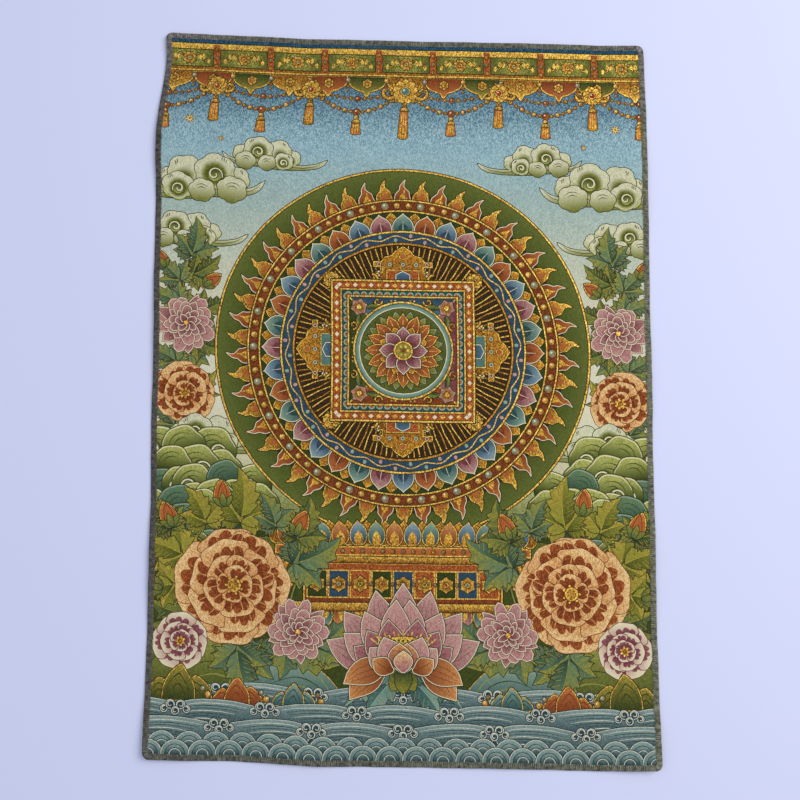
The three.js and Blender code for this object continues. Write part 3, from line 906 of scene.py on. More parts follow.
            leaf(Pen(s * 6, -7, s * -118, 1, s < 0, on=Q), 15, 6, 0.2, LEAF_LO, LEAF, LEAF_HI, 0)
    # round heart: green field with a lotus of three rows
    pen.fill(circle(0, 0, 61.6, 72), LINE)
    pen.fill(circle(0, 0, 60.6, 72), GOLD_HI)
    pen.fill(circle(0, 0, 58.6, 72), LINE)
    pen.fill(circle(0, 0, 57.9, 72), TEAL_HI, TEAL, ('rad', (0, 0), 53, 58))
    pen.fill(circle(0, 0, 53.4, 72), CREAM)
    pen.fill(circle(0, 0, 52.4, 72), LINE)
    pen.fill(circle(0, 0, 51.6, 72), OLIVE_LO, OLIVE, ('rad', (0, 0), 20, 51))
    for i in range(16):
        Pen(turn=(i + .5) * 22.5, on=pen).shape(pointed(31, 13) + [0, 18], LEAF_LO, LEAF_HI, ('lin', (0, 26), (0, 48)), LINE, .8, TEAL_HI, .6)
    for i in range(16):
        p = Pen(turn=i * 22.5, on=pen)
        p.shape(ogee(28, 14.5) + [0, 18.5], RUST_LO, RUST_HI, ('lin', (0, 24), (0, 46)), LINE, 1.0, GOLD_HI, .9)
        p.line([(0, 30), (0, 41)], 0.9, GOLD_HI, .8, .4)
    for i in range(8):
        Pen(turn=(i + .5) * 45, on=pen).shape(pointed(23, 14) + [0, 8], GOLD_LO, GOLD, ('lin', (0, 14), (0, 30)), LINE, .8, GOLD_HI, .7)
    for i in range(8):
        p = Pen(turn=i * 45, on=pen)
        p.shape(ogee(22, 16.5) + [0, 8], PINK_LO, PINK_HI, ('lin', (0, 14), (0, 29)), LINE, 1.0, CREAM, .9)
        for v in (-.5, .5, 0):
            p.line([(v * 3, 15), (v * 7, 21), (v * 4, 26)], .6, PINK_LO, .6, .3)
    pen.fill(circle(0, 0, 12.6, 28), LINE)
    pen.fill(circle(0, 0, 11.6, 28), GOLD_HI)
    pen.fill(circle(0, 0, 9.8, 28), LINE)
    pen.fill(circle(0, 0, 9.1, 28), OLIVE, GOLD_GREEN, ('rad', (0, 0), 0, 9))
    for i in range(6):
        a = math.radians(i * 60)
        pen.fill(circle(math.cos(a) * 5.4, math.sin(a) * 5.4, 1.6, 8), GOLD_HI)
    pen.fill(circle(0, 0, 2.1, 8), RED)


# ---- water along the foot

def curl(x, y, r, s=1):
    """A small curl of foam."""
    a = np.linspace(0, 1.9 * math.pi, 13)
    rr = r * (1 - a / (2.7 * math.pi))
    sp = np.stack([x + s * np.cos(a - .3) * rr, y + np.sin(a - .3) * rr], 1)
    lay(circle(x, y, r + 1.5, 12), LINE_BLUE)
    lay(circle(x, y, r + .6, 12), FOAM)
    lay(circle(x, y, r - .4, 12), WATER_LO)
    lay(ribbon(sp * 1.0, 1.2, 1.2, .7), FOAM)


def swell(cx, w, y0, high, lean, lines=9):
    """One rolling wave with fine lines that sweep along under its ridge."""
    t = np.linspace(-1, 1, 15)
    u = t + lean * (1 - t * t) * .6
    ridge = np.stack([cx + u * w / 2, y0 + high * (1 - np.abs(t) ** 2.4) * (1 + .3 * lean * t)], 1)
    body = np.concatenate([ridge, [(cx + w * .44, y0 - 9), (cx + w * .30, y0 - 34), (cx - w * .30, y0 - 34), (cx - w * .44, y0 - 9)]])
    lay(grown(body, 0.9), LINE_BLUE)
    lay(body, FOAM)
    lay(grown(body, -0.8), WATER_HI, WATER_LO, ('lin', (cx, y0 + high), (cx, y0 - 22)))
    mid = np.array([cx + lean * w * .3, y0 - 30])
    for k in range(lines):
        q = 0.92 - k * 0.072
        c = (ridge[2:-2] - mid) * [q, q * .97] + mid + [np.sign(lean) * k * 1.5, 0]
        lay(ribbon(c[::2], .4, .9 if k % 3 else 1.2, .4), (FOAM, LINE_BLUE, WATER_LO)[k % 3])


def foam(x, y, k=1.0):
    for dx, dy, r, s in ((-13, -2, 3.8, 1), (13, -2, 3.8, -1), (-6, 3, 4.8, 1), (6, 3, 4.8, -1), (0, -4, 4.2, 1)):
        curl(x + dx * k, y + dy * k, r * k, s)


def water(top, rows):
    for y, high, tops, w in rows:
        for cx, lean in tops:
            swell(cx, w, top + y, high, lean)
        for i in range(len(tops) - 1):
            foam((tops[i][0] + tops[i + 1][0]) / 2, top + y + 1)


def scales(top):
    pitch, r = 31.0, 17.6
    for row in range(2):
        cy = top - row * 9.5
        for i in range(21):
            cx = (i - 10) * pitch + (pitch / 2 if row % 2 else 0)
            for rr, dye, dye2 in ((r, LINE_BLUE, None), (r - .8, FOAM, None), (r - 1.7, WATER, WATER_HI), (r - 5.4, LINE_BLUE, None),
                                  (r - 6.2, WATER_LO, WATER_HI), (r - 9.6, LINE_BLUE, None), (r - 10.4, FOAM, None), (r - 11.3, WATER_LO, WATER)):
                half = arc(cx, cy, rr, 0, 180, 11 if rr > 9 else 8)
                lay(half, dye, dye2, None if dye2 is None else ('lin', (cx, cy), (cx, cy + rr)))


def mound(pen, pts, low, high, bands=3):
    """A rounded hill with shading bands that follow its ridge."""
    c = smooth(pts, 5, True)
    y1, y0 = c[:, 1].max(), c[:, 1].min()
    pen.shape(c, low, high, ('lin', (0, y0), (0, y1)), LINE, 1.1, GOLD_HI, .8)
    top = smooth(pts[:-2], 5)
    m = top.mean(0)
    for k in range(bands):
        q = 1 - (k + 1) * 0.17
        pen.line((top - [m[0], y0]) * q + [m[0], y0], .4, OLIVE_LO if k % 2 else OLIVE_HI, 1.3, .4)


def rock(m, x, y, w, h, low, high, seed):
    """A folded crag standing in the water."""
    rnd = random.Random(seed)
    for k, (dx, kw, kh) in enumerate(((-.30, .52, .70), (.30, .50, .62), (0, .56, 1.0))):
        cx = x + dx * w
        ww, hh = w * kw, h * kh
        pts = [(cx - ww * .5, y), (cx - ww * .46, y + hh * .45), (cx - ww * .22, y + hh * .82), (cx + rnd.uniform(-.06, .06) * ww, y + hh),
               (cx + ww * .26, y + hh * .76), (cx + ww * .46, y + hh * .38), (cx + ww * .5, y)]
        c = smooth(pts, 4)
        m.shape(c, low, high, ('lin', (cx, y), (cx, y + hh)), LINE, 1.0, GOLD_HI, .9)
        for q in (.72, .46):
            a = (c - [cx, y]) * [q, q * 1.02] + [cx + ww * .03, y]
            m.line(a[3:-4], .5, low, 1.4, .4)


def lotus_stand():
    """A lotus stand in gold: petals up, mouldings, a panelled waist and petals down."""
    p = Pen(0, -196)
    def slab(w, y0, y1, *a, **k):
        p.shape([(-w, y0), (w, y0), (w, y1), (-w, y1)], *a, **k)
    slab(118, -60, -12, RUST_LO, RUST, ('lin', (0, -60), (0, -12)), line=LINE, lw=1.2, rim=GOLD_HI, rw=1.6)
    for i in range(9):
        x = (i - 4) * 25.5
        p.shape([(x - 11, -52), (x + 11, -52), (x + 11, -22), (x - 11, -22)], (OLIVE_LO, BLUE_LO, RUST)[i % 3],
                line=GOLD_HI, lw=1.3)
        rosette(Pen(x, -37, 0, 1, on=p), 9.5, 6, GOLD, GOLD_HI, (RED, TEAL, OLIVE)[i % 3])
    for i in range(10):
        bead(p, (i - 4.5) * 25.5, -37, 2.2, TEAL_HI, LINE, None, 7)
    # petals down
    n = 15
    for row in (0, 1):
        for i in range(n - row):
            x = (i - (n - 1 - row) / 2) * 20.4
            q = Pen(x, -64, 180 + x * 0.07, 1, on=p)
            c = ((TEAL_LO, TEAL_HI), (RUST_LO, PEACH), (PINK_LO, PINK_HI))[(i + row) % 3] if row else (GOLD_LO, GOLD)
            q.shape(ogee(27, 19), c[0], c[1], ('lin', (0, 2), (0, 25)), LINE, 1.0, GOLD_HI, .9)
            if row:
                q.fill(ogee(16, 9.5), GOLD, GOLD_HI, ('lin', (0, 2), (0, 16)))
    slab(152, -68, -59, GOLD_LO, GOLD_HI, ('lin', (0, -68), (0, -59)), line=LINE, lw=1.1)
    slab(140, -12, -4, GOLD_LO, GOLD_HI, ('lin', (0, -12), (0, -4)), line=LINE, lw=1.1)
    slab(152, -4, 7, RUST, RUST_HI, ('lin', (0, -4), (0, 7)), line=LINE, lw=1.1, rim=GOLD_HI, rw=1.4)
    for i in range(25):
        bead(p, (i - 12) * 12, 1.5, 2.4, GOLD_HI if i % 2 else TEAL_HI, LINE, None, 7)
    # petals up
    for row in (0, 1):
        for i in range(n - row):
            x = (i - (n - 1 - row) / 2) * 21.0
            q = Pen(x, 8, -x * 0.11, 1, on=p)
            c = ((TEAL_LO, TEAL_HI), (RUST_LO, PEACH), (BLUE_LO, BLUE_HI))[(i + row) % 3] if row else (GOLD_LO, GOLD)
            q.shape(ogee(30, 20), c[0], c[1], ('lin', (0, 2), (0, 28)), LINE, 1.0, GOLD_HI, .9)
            if row:
                q.fill(ogee(18, 10), GOLD, GOLD_HI, ('lin', (0, 2), (0, 18)))
    for s in (-1, 1):
        scroll(Pen(s * 122, -34, 62 * s, 1, s < 0, on=p), 15, GOLD, GOLD_HI, GOLD_LO, 1.3, 5.6)


def canopy():
    """A pleated gold hanging along the head of the picture, with scallops, rosettes and hanging beads."""
    edge = 427
    for i in range(13):
        x = (i - 6) * 48.0
        c = ((GOLD_LO, GOLD_HI), (RUST_LO, RUST_HI), (OLIVE_LO, GOLD_GREEN))[i % 3]
        tip = smooth([(x - 23.5, edge - 34), (x - 22, edge - 46), (x - 12, edge - 53), (x - 5, edge - 55), (x, edge - 62), (x + 5, edge - 55),
                      (x + 12, edge - 53), (x + 22, edge - 46), (x + 23.5, edge - 34)], 3)
        lay(grown(tip, 1.0), LINE)
        lay(tip, GOLD_HI)
        lay(grown(tip, -1.3), c[0], c[1], ('lin', (x, edge - 36), (x, edge - 60)))
        rosette(Pen(x, edge - 44), 6.2, 6, PEACH, GOLD_HI, RED)
    for i in range(14):
        x = (i - 6.5) * 48.0
        bead(Pen(), x, edge - 40, 3.0, TEAL_HI if i % 2 else GOLD_HI)
        bead(Pen(), x, edge - 47.5, 2.1, RUST_HI, LINE, None)
        bead(Pen(), x, edge - 53, 1.5, GOLD_HI, LINE, None, 6)
    band = [(-320, edge - 34), (320, edge - 34), (320, edge + 1), (-320, edge + 1)]
    lay(grown(np.array(band, float), 1.0), LINE)
    lay(band, GOLD_LO, GOLD_HI, ('lin', (0, edge - 34), (0, edge)))
    for i in range(9):
        x = (i - 4) * 68.0
        box = np.array([(x - 29, edge - 28), (x + 29, edge - 28), (x + 29, edge - 7), (x - 29, edge - 7)], float)
        lay(grown(box, 1.2), LINE)
        lay(box, CANOPY, OLIVE, ('rad', (x, edge - 17), 2, 32))
        p = Pen(x, edge - 17.5)
        for s in (-1, 1):
            stem(p, [(s * 4, 0), (s * 12, 5.5), (s * 19, -4), (s * 26, 3)], 1.3, GOLD, GOLD_HI)
            for lx, ly, a in ((12, 4, 200), (17, -1, -10), (23, -1, 190)):
                Pen(s * lx, ly, a * s, 1, on=p).fill(pointed(6.6, 4.4), GOLD_HI)
        rosette(p, 8.2, 8, GOLD, GOLD_HI, RED if i % 2 else TEAL)
    for i in range(8):
        x = (i - 3.5) * 68.0
        lay([(x - 4, edge - 34), (x + 4, edge - 34), (x + 4, edge), (x - 4, edge)], RUST)
        for k in range(3):
            bead(Pen(), x, edge - 6.5 - k * 10.5, 2.5, GOLD_HI if k != 1 else TEAL_HI)
    lay(ribbon([(-320, edge - 33), (320, edge - 33)], 1.6), GOLD_HI)
    lay([(-320, edge + 1), (320, edge + 1), (320, edge + 2.2), (-320, edge + 2.2)], LINE)
    lay([(-320, edge + 2.2), (320, edge + 2.2), (320, 470), (-320, 470)], GROUND[0]['dye'])


def compose():
    lay([(-330, -470), (330, -470), (330, 470), (-330, 470)], GROUND[0]['dye'], None, ('table', GROUND))

    # stars in the dark of the sky
    for x, y, r in ((-262, 330, 7.0), (262, 330, 7.0), (-60, 322, 4.6), (60, 322, 4.6), (-118, 336, 3.6), (118, 336, 3.6),
                    (-222, 306, 4.0), (222, 306, 4.0)):
        star(Pen(x, y, 11), r)

    # bead swags and tassels under the hanging
    y = 374
    for x0, x1 in ((-234, -117), (-117, 0), (0, 117), (117, 234), (234, 351), (-351, -234)):
        swag(Pen(), x0, x1, y + 2, 30, 15, 2.9)
        swag(Pen(), x0, x1, y + 4, 15, 13, 2.2)
    for x in (-175.5, -58.5, 58.5, 175.5, 292.5, -292.5):
        tassel(Pen(x, y - 32), 24)
    for x in (-234, -117, 0, 117, 234):
        k = 1.3 if x == 0 else 0.95
        for s in (-1, 1):
            scroll(Pen(x + s * 8 * k, y, -6 * s, k * .8, s < 0), 10.0, GOLD, GOLD_HI, GOLD_LO, 1.1, 4.0)
        tassel(Pen(x, y - 12 * k), 34 * k, RUST_HI, GOLD)
    canopy()
    for x in (-234, -117, 0, 117, 234):
        rosette(Pen(x, y), 20.0 if x == 0 else 14.8, 9, GOLD, GOLD_HI, RED if x else TEAL)

    # clouds down both sides
    def bank(m):
        cumulus(Pen(166, 286, 2, 1, on=m), 84, 44, 11, tail=-1)
        cumulus(Pen(244, 252, 0, 1, on=m), 118, 66, 4, tail=1)
        cumulus(Pen(266, 186, 0, 1, on=m), 88, 50, 23, tail=-1)
    both(bank)

    # leafy sprays in the strips beside the round medallion
    def side(m):
        stem(m, [(270, -70), (262, -30), (268, 14), (254, 60), (266, 108), (258, 150)], 2.8)
        for x, y, a, L in ((258, 148, 18, 50), (262, 128, 66, 44), (264, 118, -38, 42), (258, 84, 76, 46), (260, 92, -62, 44),
                           (268, 30, 60, 46), (266, 20, -56, 42), (262, -20, 58, 44), (266, -34, -62, 40), (270, -62, 40, 44),
                           (268, -60, -34, 40), (258, 54, 118, 42), (266, 4, 124, 44), (264, -46, 118, 40)):
            lobed_leaf(Pen(x, y, a, 1, on=m), L, L * .8, .2, round(x + y) % 3)
        for x, y, a in ((240, 118, 52), (288, 140, -28), (286, -4, -50)):
            bud(Pen(x, y, a, 1, on=m), 25, 16)
        pompon(Pen(262, 72, 0, 1, on=m), 33, PINK_LO, PINK, PINK_HI, CREAM, 5)
        peony(Pen(262, -14, 0, 1, on=m), 34, RUST_LO, RUST, PEACH, PEACH_HI, RUST_LO, rings=3, seed=8)
    both(side)

    def low_bank(m):
        cumulus(Pen(236, -66, 0, 1, on=m), 96, 52, 31, tail=-1)
        heap(Pen(262, -104, 0, 1, on=m), 120, 74, 5)
        heap(Pen(214, -142, 0, 1, on=m), 112, 70, 8)
        heap(Pen(270, -172, 0, 1, on=m), 96, 66, 14, .5)
    both(low_bank)

    # hills at the foot, then the flowers
    def hills(m):
        mound(m, [(150, -372), (172, -322), (214, -300), (262, -306), (300, -330), (320, -372), (240, -384)], OLIVE_LO, OLIVE_HI)
        mound(m, [(70, -372), (92, -336), (130, -322), (172, -334), (196, -372), (130, -380)], TEAL_LO, TEAL_HI)
    both(hills)
    # a green disc behind the round medallion, which rests on the stand
    lay(circle(0, 46, 228, 120), LINE)
    lay(circle(0, 46, 227, 120), GOLD_HI)
    lay(circle(0, 46, 225, 120), LINE)
    lay(circle(0, 46, 224, 120), Dye((68, 78, 26), (84, 92, 38), .36), Dye((88, 97, 40), (104, 112, 54), .4), ('rad', (0, 46), 196, 224))
    mandala(Pen(0, 46))
    lotus_stand()

    def branch(m):
        stem(m, [(34, -344), (64, -318), (104, -306), (142, -282), (176, -250)], 4.2)
        stem(m, [(176, -250), (214, -214), (244, -186), (270, -176)], 3.0)
        stem(m, [(142, -282), (132, -250), (124, -214), (134, -186)], 3.0)
        for x, y, a, L, W in ((150, -290, 128, 74, 66), (236, -196, 172, 66, 58), (140, -214, 74, 66, 60), (244, -268, -128, 72, 64),
                              (196, -176, 12, 66, 60), (250, -212, -62, 62, 54), (176, -298, -160, 70, 62), (130, -190, 30, 54, 50),
                              (112, -312, 62, 54, 50), (272, -182, -30, 46, 42), (196, -300, 176, 62, 56), (260, -240, -96, 50, 46),
                              (150, -176, -12, 44, 40), (232, -176, -18, 50, 44)):
            lobed_leaf(Pen(x, y, a, 1, on=m), L, W, .22, round(x + y) % 3)
        for x, y, a in ((274, -174, -24), (128, -178, 22), (214, -148, -8), (284, -246, -80)):
            bud(Pen(x, y, a, 1, on=m), 32, 20)
        peony(Pen(200, -240, 0, 1, on=m), 62, RUST_LO, RUST, PEACH, PEACH_HI, RUST_LO, rings=4, seed=3)
        pompon(Pen(124, -290, 0, 1, on=m), 34, PINK_LO, PINK, PINK_HI, CREAM, 12)
        peony(Pen(262, -306, 0, 1, on=m), 29, PINK_LO, PINK, PINK_HI, CREAM, PINK_LO, rings=3, seed=21)
    both(branch)

    lay([(-320, -357), (320, -357), (320, -470), (-320, -470)], WATER_LO)
    water(-360, ((-2, 11, ((-268, .25), (-158, -.3), (-52, .2), (52, -.2), (158, .3), (268, -.25)), 116),))
    def crags(m):
        rock(m, 262, -374, 70, 42, OLIVE_LO, GOLD_GREEN, 2)
        rock(m, 194, -378, 54, 32, RUST_LO, RUST_HI, 6)
        rock(m, 128, -376, 46, 27, TEAL_LO, TEAL_HI, 9)
        for x, y, r in ((228, -366, 4), (234, -359, 3), (160, -369, 4), (166, -362, 3), (96, -368, 3.6), (100, -361, 2.6)):
            bead(m, x, y, r, GOLD_HI if r > 3.5 else TEAL_HI, LINE_BLUE)
    both(crags)
    # the middle lotus on its leaves
    for a, L in ((-104, 74), (104, 74), (-124, 62), (124, 62), (-86, 66), (86, 66)):
        leaf(Pen(0, -334, a, 1), L, 30, -.22 if a > 0 else .22, TEAL_LO, TEAL, TEAL_HI, 4)
    lotus(Pen(0, -326), 92)
    water(-360, ((-22, 11, ((-316, .2), (-214, -.3), (-108, .25), (0, -.2), (108, -.25), (214, .3), (316, -.2)), 116),
                 (-42, 11, ((-268, -.2), (-160, .3), (-53, -.25), (53, .25), (160, -.3), (268, .2)), 116)))
    scales(-424)


compose()
# ------------------------------------------------------------------ the lying cloth
# The outline, ripples and edge of the panel in millimetres, as the solid has them.
LEFT_SIDE = ((443.3, -303.4), (409.0, -302.5), (370.0, -306.8), (317.0, -311.4), (253.0, -309.6), (164.0, -308.0),
             (65.0, -304.8), (-45.0, -303.4), (-140.0, -300.8), (-234.0, -298.9), (-326.0, -298.8), (-436.0, -297.6))
RIGHT_SIDE = ((436.3, 297.3), (406.0, 298.9), (312.0, 300.3), (-14.0, 300.2), (-123.0, 300.7), (-242.0, 300.4),
              (-368.0, 301.8), (-446.1, 302.9))
TOP_SIDE = ((-303.4, 443.3), (-225.0, 441.4), (-136.0, 438.9), (-10.0, 438.6), (117.0, 437.7), (244.0, 436.5), (297.3, 436.3))
BOTTOM_SIDE = ((-297.6, -436.0), (-232.0, -438.8), (-163.0, -440.3), (-82.0, -444.3), (80.0, -445.1), (232.0, -447.4),
               (302.9, -446.1))
CORNER_BL, CORNER_BR, CORNER_TL, CORNER_TR = (-297.6, -436.0), (302.9, -446.1), (-303.4, 443.3), (297.3, 436.3)
RIPPLES = (
    # x, y, reach along, reach across, turn, rise
    (-303, 443, 105, 62, 40, 2.6), (-311, 300, 92, 60, 80, 3.0), (-305, 70, 118, 60, 96, 2.2), (-299, -215, 98, 66, 84, 2.8),
    (-298, -436, 118, 78, -45, 5.2), (-120, -444, 88, 60, 4, 2.4), (118, -446, 96, 60, -3, 2.0), (303, -446, 124, 82, 45, 5.6),
    (301, -225, 96, 64, 92, 2.6), (300, 25, 110, 60, 88, 2.4), (300, 255, 90, 60, 98, 2.9), (297, 436, 84, 60, -42, 1.8),
    (-178, 440, 80, 60, -5, 2.0), (176, 437, 84, 60, 3, 2.1), (-165, 215, 150, 84, 62, 1.2), (168, 95, 165, 80, 104, 1.1),
    (-150, -205, 150, 86, 118, 1.3), (158, -285, 140, 82, 58, 1.2))
WIDTH, HEIGHT = CORNER_BR[0] - CORNER_BL[0], CORNER_TL[1] - CORNER_BL[1]
CORNER_R = 7.0
EDGE_W = 6.8            # the band that the edge thread covers
HALF_W, HALF_H = WIDTH / 2, HEIGHT / 2


def side_value(rows, p):
    r = np.array(sorted(rows))
    n = len(r)
    lo, hi = np.maximum(np.arange(n) - 1, 0), np.minimum(np.arange(n) + 1, n - 1)
    slope = (r[hi, 1] - r[lo, 1]) / (r[hi, 0] - r[lo, 0])
    p = np.clip(p, r[0, 0], r[-1, 0])
    i = np.clip(np.searchsorted(r[:, 0], p) - 1, 0, n - 2)
    h = r[i + 1, 0] - r[i, 0]
    t = (p - r[i, 0]) / h
    t2, t3 = t * t, t * t * t
    return (r[i, 1] * (2 * t3 - 3 * t2 + 1) + slope[i] * h * (t3 - 2 * t2 + t)
            + r[i + 1, 1] * (3 * t2 - 2 * t3) + slope[i + 1] * h * (t3 - t2))


def waver(v, k):
    """The small unevenness of a cut edge, at places v along it."""
    return 0.30 * np.sin(v / 27.0 + k) + 0.14 * np.sin(v / 12.1 + 2.1 * k) + 0.09 * np.sin(v / 5.9 + 3.3 * k)


def place(pts):
    """From the picture's own millimetres to the place on the uneven outline."""
    s, t = (pts[:, 0] + HALF_W) / WIDTH, (pts[:, 1] + HALF_H) / HEIGHT
    bl, br, tl, tr = (np.array(c) for c in (CORNER_BL, CORNER_BR, CORNER_TL, CORNER_TR))
    yl, yr = bl[1] + (tl[1] - bl[1]) * t, br[1] + (tr[1] - br[1]) * t
    xb, xt = bl[0] + (br[0] - bl[0]) * s, tl[0] + (tr[0] - tl[0]) * s
    left = np.stack([side_value([(a, b) for a, b in LEFT_SIDE], yl) + waver(yl, 0.4), yl], 1)
    right = np.stack([side_value([(a, b) for a, b in RIGHT_SIDE], yr) + waver(yr, 1.7), yr], 1)
    bottom = np.stack([xb, side_value(BOTTOM_SIDE, xb) + waver(xb, 2.9)], 1)
    top = np.stack([xt, side_value(TOP_SIDE, xt) + waver(xt, 4.3)], 1)
    s, t = s[:, None], t[:, None]
    return (left * (1 - s) + right * s + bottom * (1 - t) + top * t
            - ((bl * (1 - s) + br * s) * (1 - t) + (tl * (1 - s) + tr * s) * t))


def ripple(p):
    z = np.zeros(len(p))
    for x, y, along, across, turn, rise in RIPPLES:
        a = math.radians(turn)
        dx, dy = p[:, 0] - x, p[:, 1] - y
        d = np.hypot((dx * math.cos(a) + dy * math.sin(a)) / along, (-dx * math.sin(a) + dy * math.cos(a)) / across)
        z += np.where(d < 1, rise * np.cos(np.minimum(d, 1) * math.pi / 2) ** 2, 0)
    return z


def inset_of(pts):
    """Distance in from the rim, with the corners rounded."""
    a = np.minimum(pts[:, 0] + HALF_W, HALF_W - pts[:, 0])
    b = np.minimum(pts[:, 1] + HALF_H, HALF_H - pts[:, 1])
    inset = np.minimum(a, b)
    corner = (a < CORNER_R) & (b < CORNER_R)
    return np.where(corner, CORNER_R - np.hypot(CORNER_R - a, CORNER_R - b), inset)


# Height of the cloth's face and back over its ripple, from the rim inwards. The cloth is pressed
# thin under the edge thread, which stands on both sides of it.
FACE = ((0.0, 0.95), (0.5, 1.18), (1.2, 1.26), (5.6, 1.26), (7.4, 1.2), (14.0, 1.2))
BACK = ((0.0, 0.72), (0.5, 0.6), (1.2, 0.55), (5.6, 0.5), (8.0, 0.12), (12.0, 0.0))


def profile(rows, inset):
    r = np.array(rows)
    return np.interp(inset, r[:, 0], r[:, 1])


def lift(pts, rows):
    """Points of the picture's frame, set on the lying cloth: metres in the part's frame."""
    q = place(pts)
    z = ripple(q) + profile(rows, inset_of(pts))
    return np.concatenate([q - MID, z[:, None]], 1) / 1000


def outline(inset, step=5.0):
    """A closed loop round the panel at a distance in from its rim."""
    r = CORNER_R - inset
    out = []
    w, h = HALF_W - CORNER_R, HALF_H - CORNER_R
    if r <= 0.3:
        w, h, r = HALF_W - inset, HALF_H - inset, 0
    for cx, cy, a0 in ((w, -h, -90), (w, h, 0), (-w, h, 90), (-w, -h, 180)):
        if r:
            out.append(arc(cx, cy, r, a0, a0 + 90, 7))
        else:
            out.append(np.array([[cx, cy]]))
    loop = np.concatenate(out)
    full = []
    for p, q in zip(loop, np.roll(loop, -1, 0)):
        n = max(1, round(math.hypot(*(q - p)) / step))
        full.append(p + (q - p) * (np.arange(n) / n)[:, None])
    return np.concatenate(full)


_rim = place(outline(0.0, 2.0))
MID = (_rim.min(0) + _rim.max(0)) / 2


# ------------------------------------------------------------------ from drawing to weave
def thinned(ring, tol):
    """Leaves out points that the outline doesn't need."""
    n = len(ring)
    if n < 7:
        return ring
    keep = np.zeros(n, bool)
    far = int(np.argmax(np.hypot(*(ring - ring[0]).T)))
    keep[[0, far]] = True
    todo = [(0, far), (far, n)]
    while todo:
        a, b = todo.pop()
        if b - a < 2:
            continue
        p, q = ring[a], ring[b % n]
        d = q - p
        L = math.hypot(*d)
        seg = ring[a + 1:b] - p
        dist = np.abs(seg[:, 0] * d[1] - seg[:, 1] * d[0]) / L if L > 1e-9 else np.hypot(*seg.T)
        k = int(np.argmax(dist))
        if dist[k] > tol:
            keep[a + 1 + k] = True
            todo += [(a, a + 1 + k), (a + 1 + k, b)]
    return ring[keep]


def clipped(p, q, w, h):
    """Segments cut back to the rectangle of half sizes w and h."""
    d = q - p
    t0, t1 = np.zeros(len(p)), np.ones(len(p))
    ok = np.ones(len(p), bool)
    for axis, lim in ((0, w), (1, h)):
        for s in (-1, 1):
            num, den = lim - s * p[:, axis], s * d[:, axis]
            with np.errstate(divide='ignore', invalid='ignore'):
                t = num / den
            t1 = np.where(den > 1e-12, np.minimum(t1, t), t1)
            t0 = np.where(den < -1e-12, np.maximum(t0, t), t0)
            ok &= ~((np.abs(den) <= 1e-12) & (num < 0))
    ok &= t1 - t0 > 1e-6
    return (p + d * t0[:, None])[ok], (p + d * t1[:, None])[ok], ok


def inside(ring, pts):
    """Which points a ring winds round."""
    out = np.zeros(len(pts), int)
    x, y = ring[:, 0], ring[:, 1]
    x2, y2 = np.roll(x, -1), np.roll(y, -1)
    step = max(1, 2_000_000 // max(len(ring), 1))
    for i in range(0, len(pts), step):
        px, py = pts[i:i + step, 0][:, None], pts[i:i + step, 1][:, None]
        cross = (x2 - x) * (py - y) - (px - x) * (y2 - y)
        up = (y <= py) & (y2 > py) & (cross > 0)
        down = (y > py) & (y2 <= py) & (cross < 0)
        out[i:i + step] = up.sum(1) - down.sum(1)
    return out != 0


